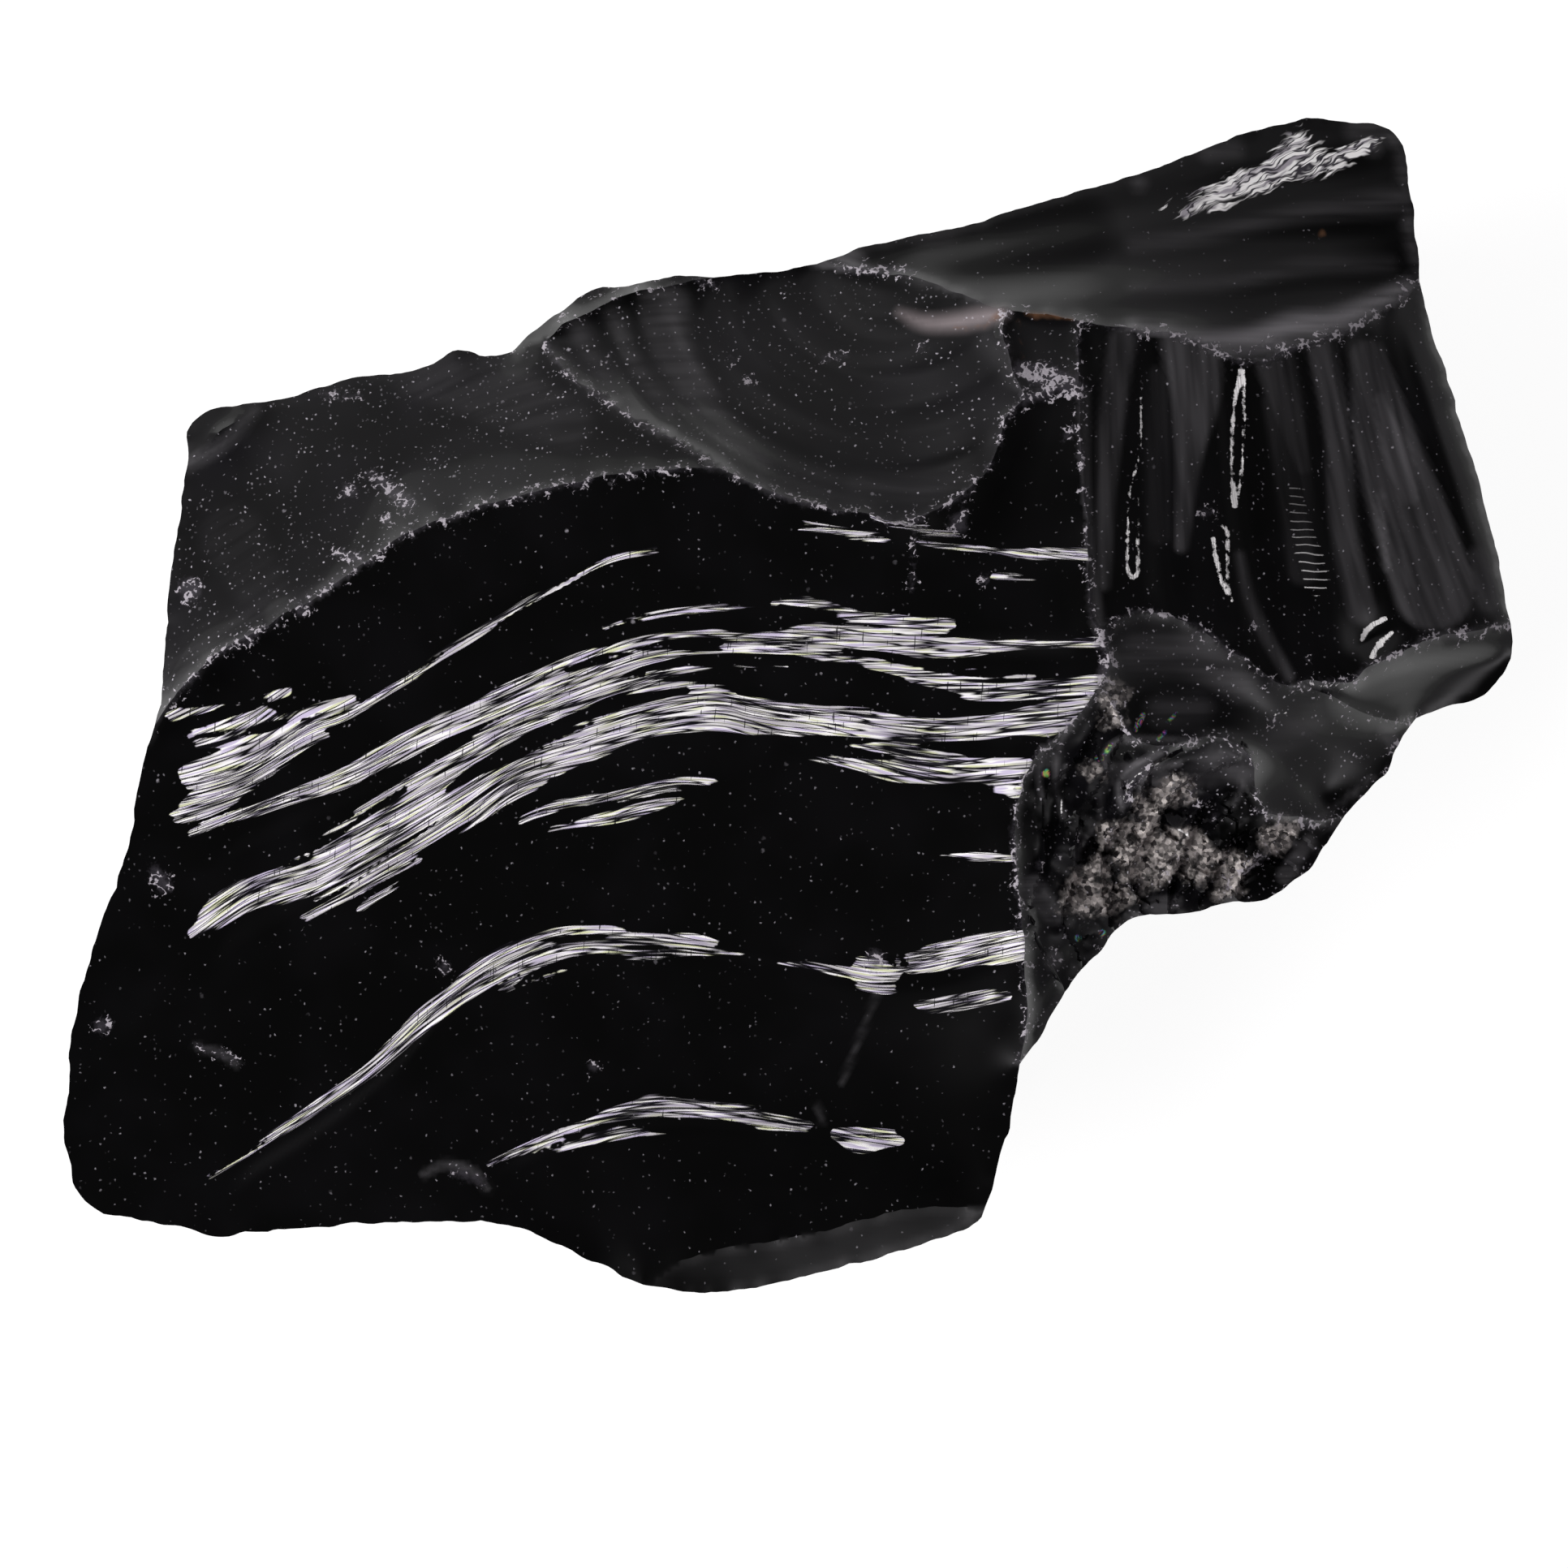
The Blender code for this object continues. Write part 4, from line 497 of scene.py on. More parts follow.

# Soft grey films: haze and fine scratches in the glass, and painted reflections where it would catch a broad
# light: the faces, then how strong each is and its stroke.
sheens = {
    "main": [
        (0.35, [(3.7, -12.9, 0.12), (2.9, -14.9, 0.1), (2.2, -16.7, 0.08)]),
        (0.5, [(-14.9, -20.4, 0.2), (-14, -20, 0.25), (-12.9, -20.3, 0.25), (-12.3, -21, 0.2)]),
        (0.35, [(-24.2, -15.2, 0.2), (-23.3, -15.4, 0.2), (-22.6, -15.9, 0.15)]),
        (0.3, [(1.2, -17.6, 0.12), (1.4, -18.2, 0.15)]),
    ],
    "wing": [
        (1.7, [(14.3, 14.6, 0.48), (15.9, 14.3, 0.48), (17.5, 14, 0.73), (19.2, 14.1, 0.89),
               (20.8, 14.6, 0.97), (22.4, 14.8, 0.81), (24, 15.5, 0.57), (25.6, 16.3, 0.48)]),
        (0.3, [(14.3, 18, 0.57), (17.5, 18.5, 0.57), (20.8, 19.3, 0.57), (25.2, 19.9, 1.05)]),
        (0.26, [(14.3, 16.3, 0.4), (18.3, 16.5, 0.48), (21.6, 17.2, 0.48), (24.8, 17.2, 0.48)]),
        (0.3, [(17.4, 21.9, 0.57), (18.5, 22, 0.48)]), (0.4, [(14.5, 20.6, 0.4)]),
        (0.45, [(23.4, 22.8, 0.57), (24.6, 22.8, 0.48), (25.1, 22.4, 0.4)]), (0.5, [(24.2, 22.2, 0.57)]),
        (0.4, [(25.4, 21.7, 0.32), (25.6, 19.3, 0.32), (25.9, 17.6, 0.32), (26.3, 16, 0.32)]),
        (0.75, [(1.4, 17.3, 0.69), (2.5, 17.3, 1.11)]), (0.1, [(5.7, 17.8, 1.11), (6.4, 18.1, 1.11)]),
        (0.7, [(6.4, 15.7, 0.28), (6.9, 15.8, 0.41)]),
        (0.3, [(5.6, 16.3, 0.55), (7.4, 15.9, 0.69), (8.6, 15.7, 0.55)]),
    ],
    "left": [
        (0.12, [(-26, -2.5, 0.51), (-25.3, -0.5, 1.28), (-23.8, 1.4, 1.28), (-21.4, 2.7, 0.94),
                (-19.7, 3.3, 0.64)]),
        (0.24, [(-19.7, 3.3, 0.51), (-17.2, 4.8, 0.6), (-15.1, 5.9, 0.38), (-12.1, 7.2, 0.34),
                (-9.1, 7.9, 0.26)]), (0.6, [(-24.7, 8.9, 0.17), (-23.3, 9.7, 0.21), (-22, 11.1, 0.19)]),
        (0.05, [(-22.9, 5.9, 2.55), (-21.4, 3.3, 1.91)]),
        (0.12, [(-15.5, 12.7, 1.7), (-12.1, 11.9, 2.55), (-9.1, 10.6, 1.91)]),
    ],
    "scar": [
        (0.32, [(-5.1, 15.6, 1.8), (-4.8, 13.8, 1.52), (-3.8, 12, 1.24), (-2.5, 10.2, 0.83),
                (-1.1, 8.9, 0.55)]), (0.26, [(-8.7, 14.6, 0.55), (-7.7, 12.8, 0.47), (-6.5, 11.3, 0.33)]),
        (0.24, [(-7.3, 15.2, 0.5), (-6.3, 13.1, 0.5), (-4.9, 11.1, 0.39)]),
        (0.35, [(-9.8, 13.6, 0.22), (-8.5, 12.3, 0.25), (-6.5, 11, 0.39), (-4.4, 9.6, 0.36),
                (-2.7, 8.9, 0.25), (-1.4, 8.2, 0.39), (0.7, 7.2, 0.3)]),
        (0.14, [(2.8, 8.1, 0.55), (5.6, 7.9, 0.69), (7.4, 8.4, 0.41)]),
    ],
    "fluted": [
        (0.34, [(13.8, 14, 1.11), (13.3, 10.4, 0.98), (13.1, 7.3, 0.67), (13, 3.9, 0.45)]),
        (0.52, [(16.6, 14, 2.45), (16.8, 11.8, 2.01), (16.5, 9.1, 1.03), (16.2, 5.5, 0.45)]),
        (0.26, [(20.1, 13.1, 1.56), (20.7, 10.7, 1.11), (21.2, 8.7, 0.54)]),
        (0.42, [(22, 13.8, 1.11), (22.6, 10.4, 0.98), (22.9, 6, 1.11), (23.6, 2.8, 1.11)]),
        (0.5, [(23.9, 13.4, 1.34), (24.6, 10, 2.45), (25.7, 6.4, 3.12), (26.6, 3.7, 3.34)]),
        (0.6, [(25.1, 7.8, 0.22), (25.5, 3.9, 0.58)]), (0.6, [(25.8, 7.3, 0.22), (26.6, 3.5, 0.67)]),
        (0.3, [(28.4, 5.1, 0.67), (28.8, 3.3, 1.11)]),
        (0.9, [(24.4, 11.6, 0.6), (25.1, 9.4, 1.3), (25.6, 7.6, 0.9)]),
        (0.9, [(24.4, 7.6, 0.5), (24.7, 4.6, 0.3)]),
        (0.12, [(20.4, 11.5, 1.6), (20.8, 8, 1.4), (21.2, 4.5, 1.2)]),
        (0.1, [(15.2, 12.5, 0.9), (15.3, 6, 0.9)]),
        (0.45, [(18.6, 5.1, 0.31), (19, 3.3, 0.4), (19.7, 1.7, 0.45), (20.6, 0.1, 0.4)]),
        (0.3, [(12.2, 11.8, 0.36), (12.3, 7.3, 0.36), (12.6, 3.9, 0.4), (12.9, 1.5, 0.54)]),
        (0.4, [(27.1, 13.1, 0.27), (27.8, 10.4, 0.31), (28.6, 7.3, 0.31), (29.4, 3.9, 0.31)]),
    ],
    "slab": [
        (0.5, [(26.2, 1.7, 0.5), (29.3, 2.5, 0.5)]), (0.2, [(23.5, 0.1, 0.2), (24.8, 0.9, 0.3)]),
    ],
    "lobe crushed": [
        (0.25, [(15.4, -1.3, 1.24), (16.8, -1.3, 1.24)]),
        (0.5, [(16.9, -4, 1.01), (17.7, -3.5, 1.13), (18.6, -3.8, 1.01)]),
    ],
    "lobe": [
        (0.35, [(14.4, 1, 1.4), (16.6, 0.9, 1.4), (18.6, -0.3, 1.1)]),
        (0.2, [(20.2, -2.6, 1.2), (21.6, -1.6, 1)]),
    ],
    "crushed lobe": [
        (0.6, [(11, -1.8, 0.15), (10.5, -2.8, 0.17), (10.3, -4.1, 0.17), (10.5, -5.1, 0.12)]),
        (0.7, [(11.6, -1.8, 0.15), (11.1, -3, 0.17), (11, -4.3, 0.17), (11.2, -5.3, 0.12)]),
        (0.8, [(13.4, -4.3, 0.15), (13, -3.3, 0.17), (13.6, -2.6, 0.2), (15.1, -2.5, 0.2),
               (16.8, -2.6, 0.15)]),
        (1.3, [(13.7, -5.3, 0.17), (13.6, -4.3, 0.22), (14.2, -3.6, 0.22), (15.3, -3.1, 0.17)]),
        (1.1, [(14.6, -5.1, 0.17), (14.5, -4.3, 0.2), (15.1, -3.7, 0.2), (16.1, -3.5, 0.17)]),
        (0.7, [(17.8, -3, 0.15), (18.6, -3.4, 0.2), (18.7, -4.3, 0.17), (18.3, -5.3, 0.15)]),
        (0.6, [(19.8, -5.6, 0.17), (21.5, -5.8, 0.2), (22.5, -5.3, 0.2), (24, -4.1, 0.17)]),
        (0.6, [(12.4, -6.3, 0.15), (11.9, -7.3, 0.17), (12.1, -8.6, 0.15)]),
        (0.6, [(19.1, -7.6, 0.15), (20.3, -6.8, 0.2), (21.5, -7, 0.17)]),
        (0.5, [(11.4, -3.6, 0.11), (11.1, -4.7, 0.14), (11.3, -5.7, 0.16)]),
        (0.45, [(12.8, -5.7, 0.18), (12.9, -4.7, 0.18), (13.5, -3.8, 0.16)]),
        (0.45, [(24.6, -2.2, 0.68), (25, -2.9, 0.45)]), (0.6, [(25.5, -1.1, 0.68), (25.9, -0.6, 0.45)]),
        (0.5, [(20.4, -8.1, 0.68), (21.4, -6.7, 0.45)]), (0.4, [(10.1, -8.6, 1.01), (10.9, -9.8, 0.79)]),
        (0.5, [(10.9, -11.6, 0.68)]), (0.4, [(15, -9.4, 0.68), (15.9, -9.2, 0.56)]),
        (0.55, [(10.3, 0.4, 0.25), (11.2, -0.5, 0.29), (12, -1.5, 0.25)]),
        (0.5, [(9.3, -0.5, 0.2), (10.1, -1.5, 0.25), (10.7, -2.7, 0.2)]),
        (0.5, [(13.4, -3.8, 0.68), (15, -4, 0.79), (16.1, -4.7, 0.56)]),
    ],
}
# the width over which a sheen, painted reflection and haze alike, fades out, where it isn't the stone's usual
# one
sheenEdge = {"fluted": 0.4, "slab": 0.6, "crushed lobe": 0.3, "main": 0.35}


def smoothLine(points, spacing):
    # the Catmull-Rom curve through the points, resampled evenly at about the spacing, both ends kept
    knots = np.array(points, float)
    ends = np.vstack([2 * knots[0] - knots[1], knots, 2 * knots[-1] - knots[-2]])
    before, start, stop, after = ends[:-3, None], ends[1:-2, None], ends[2:-1, None], ends[3:, None]
    t = np.linspace(0, 1, curveSteps, endpoint=False)[None, :, None]
    curve = 0.5 * (2 * start + (stop - before) * t + (2 * before - 5 * start + 4 * stop - after) * t**2
                   + (3 * start - before - 3 * stop + after) * t**3)
    curve = np.vstack([curve.reshape(-1, knots.shape[1]), knots[-1:]])
    along = lengthAlong(curve)
    wanted = np.linspace(0, along[-1], max(2, int(round(along[-1] / spacing)) + 1))
    return np.column_stack([np.interp(wanted, along, column) for column in curve.T])


def lengthAlong(line):
    # the level distance walked from the line's start to each of its points
    return np.concatenate([[0], np.cumsum(np.hypot(*np.diff(line[:, :2], axis=0).T))])


def wanderedLine(points, seed):
    # a smooth line pushed sideways and up by layered noise along it, and by nothing at its two ends
    line = smoothLine(points, stone["spacing"])
    along = lengthAlong(line)
    heading = np.gradient(line[:, :2], axis=0)
    heading /= np.maximum(np.hypot(*heading.T), 1e-9)[:, None]
    wander = stone["wander"]
    fade = np.minimum(1, np.minimum(along, along[-1] - along) / wander["fade"]) * wander["reach"]
    sideways = fade * layeredNoise(along / wander["length"], 0 * along, seed)
    line[:, 0] -= heading[:, 1] * sideways
    line[:, 1] += heading[:, 0] * sideways
    upward = layeredNoise(along / wander["length"], 0 * along, seed + wander["upSeed"])
    line[:, 2] += wander["up"] * fade * upward
    return line


def joined(lines, names):
    # the named lines end to end, each without its last point
    walks = [lines[name[1:]][::-1] if name.startswith("-") else lines[name] for name in names]
    return np.vstack([walk[:-1] for walk in walks])


def inChunks(function, points, size=3000):
    # runs a function on runs of the points, so that its tables stay small
    parts = [function(points[k:k + size]) for k in range(0, len(points), size)]
    return tuple(np.concatenate(column) for column in zip(*parts))


def isInside(points, outline):
    # a point is inside where an odd number of the outline's sides lie to its right
    x0, y0 = outline[:, 0], outline[:, 1]
    x1, y1 = np.roll(x0, -1), np.roll(y0, -1)

    def test(some):
        x, y = some[:, 0, None], some[:, 1, None]
        spans = (y0 > y) != (y1 > y)
        reach = x0 + (y - y0) * (x1 - x0) / np.where(y1 == y0, 1e-9, y1 - y0)
        return ((spans & (x < reach)).sum(axis=1) % 2 == 1,)

    return inChunks(test, points)[0]


def film(points, outline, values):
    # mean value interpolation: each outline point weighs the sum of the tangents of the half angles to its
    # neighbours, over its distance; twice the inverse of the weights' sum is the distance to the edge
    def stretch(some):
        dx = outline[None, :, 0] - some[:, 0, None]
        dy = outline[None, :, 1] - some[:, 1, None]
        r = np.hypot(dx, dy)
        nextX, nextY, nextR = np.roll(dx, -1, 1), np.roll(dy, -1, 1), np.roll(r, -1, 1)
        halfTurn = (dx * nextY - dy * nextX) / (r * nextR + dx * nextX + dy * nextY)
        weight = (halfTurn + np.roll(halfTurn, 1, 1)) / r
        total = weight.sum(axis=1)
        return (weight @ values) / total[:, None], np.abs(2 / total)

    return inChunks(stretch, points)


def swell(name, x, y):
    # height * soft noise of x and y over their own lengths
    height, lengthX, lengthY, seed = swells[name]
    return height * softNoise(x / lengthX, y / lengthY, seed)


def besideLine(x, y, line):
    # how far y lies beyond the line's own y at this x
    path = smoothLine(line, stone["lineStep"])
    return y - np.interp(x, path[:, 0], path[:, 1]), path


def stepProfile(x, y, step):
    # falls by the drop as y passes the line, and rises back by as much over the return width
    beyond, path = besideLine(x, y, step["line"])
    ends = smoothStep((x - path[0, 0]) / stepFade["ends"]) * smoothStep((path[-1, 0] - x) / stepFade["ends"])
    fall = smoothStep(beyond / step["width"] + 0.5) - smoothStep(beyond / stepFade["return"] + 0.5)
    return -step["drop"] * fall * ends


def pitProfile(x, y, holes):
    # each pit is a bell e^(-2 r^2) of its own width and depth
    away = [np.hypot(x - hole["at"][0], y - hole["at"][1]) / hole["across"] for hole in holes]
    return -sum((hole["depth"] * np.exp(-2 * r**2) for hole, r in zip(holes, away)), np.zeros_like(x))


def acrossFlutes(x, y):
    # x measured across the flutes, which fan out towards the front right
    footX, topY = flutes["foot"]
    return x - footX - flutes["fan"] * (x - footX) * (topY - y)


def reliefMain(x, y):
    # the long steps, and a slow swell
    return sum(stepProfile(x, y, step) for step in mainSteps) + swell("main", x, y)


def reliefFluted(x, y):
    # sine waves across the flutes, with finer uneven grooves along them
    across = acrossFlutes(x, y)
    waves = sum(w["depth"] * np.sin(2 * np.pi * across / w["length"] + w["shift"]) for w in flutes["waves"])
    return waves + swell("grooves", across, y) + swell("fineGrooves", across, y)


def reliefScar(x, y):
    # sine rings of several lengths about the point of the blow, with finer uneven rings far from it
    away = np.hypot(x - scarRings["origin"][0], y - scarRings["origin"][1])
    away = away + swell("ringBend", x, y)
    start, width = scarRings["outer"]
    rings = sum(depth * np.sin(2 * np.pi * away / length) for length, depth in scarRings["waves"])
    return rings + smoothStep((away - start) / width) * swell("ringStripes", away, 0 * x)


def reliefWing(x, y):
    # long low waves that follow the wing's length
    across = y - wingWaves["slope"] * x
    return wingWaves["depth"] * np.sin(2 * np.pi * across / wingWaves["length"]) + swell("wing", x, across)


def reliefLobe(x, y):
    # faint rings about a point in front of the lobe
    away = np.hypot(x - lobeRings["origin"][0], y - lobeRings["origin"][1])
    return lobeRings["depth"] * np.sin(2 * np.pi * away / lobeRings["length"]) + swell("lobe", x, y)


def reliefSlab(x, y):
    # low in front of the ledge's line, level behind it, with fine lines along it
    beyond, _ = besideLine(x, y, slabLedge["line"])
    ledge = slabLedge["drop"] * (smoothStep(beyond / slabLedge["width"] + 0.5) - 1)
    return ledge + swell("slab", x, beyond)


def reliefCrushed(x, y):
    # curved terraces with lumps on them, broken into tilted crystal planes where the crush is worst
    away = np.hypot(x - crush["centre"][0], y - crush["centre"][1])
    tread = away / crush["tread"] + crush["bend"] * np.sin(x) * np.cos(1.3 * y)
    terrace = crush["rise"] * (np.floor(tread) - tread + 0.5)
    turn = 2 * np.pi / crush["lump"]
    lumps = crush["lumpDepth"] * np.sin(turn * (x + 0.4 * y)) * np.sin(turn * (y - 0.3 * x) + 1.0)
    tilt = crush["crystalTilt"]
    crystals, finer = (brokenPlanes(x, y, size, tilt, seed) for size, seed in crush["crystals"])
    centre = np.hypot(x - crush["crystalAt"][0], y - crush["crystalAt"][1])
    start, width = crush["crystalFade"]
    worst = smoothStep(start - centre / width)
    coarseShare, finerShare, everywhere = crush["crystalShares"]
    return terrace + lumps + worst * (coarseShare * crystals + finerShare * finer) + everywhere * crystals


reliefs = {
    "main": reliefMain, "fluted": reliefFluted, "scar": reliefScar, "wing": reliefWing, "lobe": reliefLobe,
    "slab": reliefSlab, "crushed": reliefCrushed,
}


def topHeights(points, lines):
    # height = film over the face's ridges, less the hollow times 1 - e^(-distance / reach), plus relief
    heights = np.full(len(points), np.nan)
    dust = np.zeros(len(points))
    owner = np.zeros(len(points), int)
    for number, (name, face) in enumerate(faces.items()):
        walk = face["edge"].split()
        outline = joined(lines, walk)
        own = face.get("own", {})
        hollow = np.concatenate([
            np.full(len(lines[ridge.lstrip("-")]) - 1, own.get(ridge.lstrip("-"), face["hollow"]))
            for ridge in walk
        ])
        here = isInside(points, outline)
        x, y = points[here, 0], points[here, 1]
        values, away = film(points[here], outline, np.column_stack([outline[:, 2], hollow]))
        raised = pitProfile(x, y, pits.get(name, []))
        if name in reliefs:
            raised = raised + reliefs[name](x, y)
        sag = values[:, 1] * (1 - np.exp(-away / face["reach"]))
        heights[here] = values[:, 0] - sag + raised * np.minimum(1, away / stone["reliefEdge"])
        dust[here] = face["dust"]
        owner[here] = number
    return heights, dust, owner


def lattice(outline, spacing):
    # rows of equal triangles over the outline's box, kept where they lie inside it
    low, high = outline[:, :2].min(axis=0), outline[:, :2].max(axis=0)
    rows = np.arange(low[1], high[1], spacing * np.sqrt(3) / 2)
    x, y = np.meshgrid(np.arange(low[0], high[0], spacing), rows)
    x = x + spacing / 2 * (np.arange(len(rows)) % 2)[:, None]
    points = np.column_stack([x.ravel(), y.ravel()])
    # in the finer rounds, the middles of the triangles too
    middles = np.vstack([points + (spacing / 2, spacing / np.sqrt(12)), points + (0, spacing / np.sqrt(3))])
    fine = [np.hypot(*(middles - place).T) < radius for *place, radius in stone["fine"]]
    points = np.vstack([points, middles[np.any(fine, axis=0)]])
    return points[isInside(points, outline)]


def nearestDistance(points, targets):
    # the distance from each point to the nearest target
    def measure(some):
        gap = (some[:, None, 0] - targets[:, 0]) ** 2 + (some[:, None, 1] - targets[:, 1]) ** 2
        return (np.sqrt(gap.min(axis=1)),)

    return inChunks(measure, points)[0]


def fillTriangles(points, sides):
    # Delaunay triangles inside the sides, with every side kept as an edge, all turned to face up
    result = delaunay_2d_cdt(points[:, :2].tolist(), sides.tolist(), [], 1, 1e-6)
    source = np.array([origin[0] for origin in result[3]])
    triangles = source[np.array(result[2])]
    a, b, c = (points[triangles[:, k], :2] for k in range(3))
    turn = (b[:, 0] - a[:, 0]) * (c[:, 1] - a[:, 1]) - (b[:, 1] - a[:, 1]) * (c[:, 0] - a[:, 0])
    return np.where((turn > 0)[:, None], triangles, triangles[:, ::-1])


def topSheet(lines):
    # rim points first, then the other ridges' points, then the lattice between them; ridges that meet share
    # a point, so each place counts once, where it is first used
    rim = joined(lines, rimOrder)
    inner = [line for name, line in lines.items() if not name.startswith("rim")]
    loose = np.vstack([rim] + inner)
    _, first, place = np.unique(loose[:, :2].round(5), axis=0, return_index=True, return_inverse=True)
    order = np.sort(first)
    number = np.searchsorted(order, first)[place.ravel()]
    ridgePoints = loose[order]
    ends = np.cumsum([len(rim)] + [len(line) for line in inner])
    ring = np.arange(len(rim))
    walks = [np.append(ring, 0)] + [number[start:stop] for start, stop in zip(ends[:-1], ends[1:])]
    sides = np.vstack([np.column_stack([walk[:-1], walk[1:]]) for walk in walks])
    field = lattice(rim, stone["spacing"])
    field = field[nearestDistance(field, ridgePoints) > stone["clearance"] * stone["spacing"]]
    heights, dust, owner = topHeights(field, lines)
    top = np.vstack([ridgePoints, np.column_stack([field, heights])])
    dust = np.concatenate([np.full(len(ridgePoints), stone["ridgeDust"]), dust])
    owner = np.concatenate([np.full(len(ridgePoints), -1), owner])
    return top, fillTriangles(top, sides), len(rim), dust, owner


def turnFrom(angle, middle):
    # degrees from the middle to the angle, the short way round
    return (angle - middle + 180) % 360 - 180


def flankDepth(angle, down):
    # the deepest of the scars, each a bowl 1 - aside^2 - below^2 with ripples about its top, and the chips'
    # smaller bowls on top of that
    depth = np.zeros_like(angle)
    length, size = flanks["ripple"]
    for middle, halfWidth, level, halfHeight, bite in flanks["scars"]:
        aside = turnFrom(angle, middle) / halfWidth
        below = (down - level) / halfHeight
        away = np.hypot(aside * halfWidth * flanks["degree"], (below + 1) * halfHeight * flanks["fall"])
        bowl = bite * (1 - aside**2 - below**2) + size * np.sin(2 * np.pi * away / length)
        depth = np.maximum(depth, bowl)
    chips = flanks["chips"]
    for number in range(chips["count"]):
        level, width, height, bite = (
            least + spread * (stride * number % 1)
            for least, spread, stride in (chips["level"], chips["width"], chips["height"], chips["depth"])
        )
        aside = turnFrom(angle, chips["turn"] * number) / width
        below = (down - level) / height
        depth = depth + np.maximum(0, bite * (1 - aside**2 - below**2))
    return depth * min(1, down / flanks["rimBand"])


def flankRows(rim):
    # radius = rim's, moved towards the foot's by a share that grows as start*t + (1 - start)*t^2, less scars
    centre = np.array(stone["centre"])
    out = rim[:, :2] - centre
    reach = np.hypot(*out.T)
    angle = np.degrees(np.arctan2(out[:, 1], out[:, 0]))
    # the foot: the rim's reach averaged round the circle with weights e^(-(turn / blur)^2), times its share
    weight = np.exp(-((turnFrom(angle[:, None], angle) / flanks["blurDeg"]) ** 2))
    shareAngles, shares = zip(*flanks["footShare"])
    foot = (weight @ reach) / weight.sum(axis=1) * np.interp(angle, shareAngles, shares, period=360)
    foot = np.minimum(foot, flanks["footMost"] * reach)
    grain = flanks["grain"]
    rows = []
    for down in np.linspace(0, 1, flanks["rows"] + 1)[1:]:
        lean = flanks["leanStart"] * down + (1 - flanks["leanStart"]) * down**2
        radius = reach + (foot - reach) * lean - flankDepth(angle, down)
        fine = layeredNoise(angle / grain["degrees"], 0 * angle + grain["rounds"] * down, grain["seed"])
        radius = radius + grain["height"] * fine * min(1, grain["start"] * down)
        rows.append(np.column_stack([centre + out * (radius / reach)[:, None], rim[:, 2] * (1 - down)]))
    return rows


def castPoints(points):
    # where each point would be on the level plane, seen along the tilted line from far above
    lean = math.tan(math.radians(cast["leanDeg"]))
    nearer = 1 + (cast["height"] - points[:, 2]) / cast["away"]
    midX, midY = cast["middle"]
    x = (points[:, 0] - midX) / nearer + midX
    y = (points[:, 1] - midY + lean * (points[:, 2] - cast["height"])) / nearer + midY
    return np.column_stack([x, y])


def strokeField(points, strokes, spacing=0.1):
    # how far each point lies inside the nearest stroke: half the stroke's width less the distance from its
    # middle line, largest over the strokes
    samples = [smoothLine(stroke, spacing) if len(stroke) > 1 else np.array(stroke) for stroke in strokes]
    samples = np.vstack(samples)

    def measure(some):
        gap = np.hypot(some[:, None, 0] - samples[:, 0], some[:, None, 1] - samples[:, 1])
        return ((samples[:, 2] / 2 - gap).max(axis=1),)

    return inChunks(measure, points)[0]


def flowAcross(x, y):
    # a level that is the same all along each guide line, and blends evenly from one guide to the next
    lines = [smoothLine(guide, stone["guideStep"]) for guide in guides]
    heights = np.array([np.interp(x, line[:, 0], line[:, 1]) for line in lines])
    levels = [line[:, 1].mean() for line in lines]
    across = levels[0] + (y - heights[0])
    for k in range(len(lines) - 1):
        share = (y - heights[k]) / np.minimum(heights[k + 1] - heights[k], -0.2)
        blend = levels[k] + share * (levels[k + 1] - levels[k])
        across = np.where(share >= 0, blend, across)
    return across


def makeStone():
    seed = stone["wander"]["seed"]
    lines = {name: wanderedLine(points, seed + k) for k, (name, points) in enumerate(ridges.items())}
    top, topTriangles, rimCount, dust, owner = topSheet(lines)
    print("top sheet:", len(top), "points,", len(topTriangles), "triangles")
    rows = flankRows(top[:rimCount])
    points = np.vstack([top] + rows)
    ring = np.arange(rimCount)
    triangles = [topTriangles]
    above = ring
    for number in range(len(rows)):
        below = len(top) + number * rimCount + ring
        after, belowAfter = np.roll(above, -1), np.roll(below, -1)
        triangles.append(np.column_stack([above, after, below]))
        triangles.append(np.column_stack([after, belowAfter, below]))
        above = below
    underside = fillTriangles(points[above], np.column_stack([ring, np.roll(ring, -1)]))
    triangles.append(above[underside][:, ::-1])
    triangles = np.vstack(triangles)
    mesh = bpy.data.meshes.new("obsidianStone")
    mesh.from_pydata(points * mm, [], triangles)
    mesh.validate()
    mesh.shade_smooth()
    mesh.set_sharp_from_angle(angle=math.radians(stone["sharpAngle"]))
    addFields(mesh, points, lines, len(top), dust, owner)
    piece = bpy.data.objects.new("obsidianStone", mesh)
    bpy.context.scene.collection.objects.link(piece)
    print("stone:", len(points), "points,", len(triangles), "triangles")
    return piece


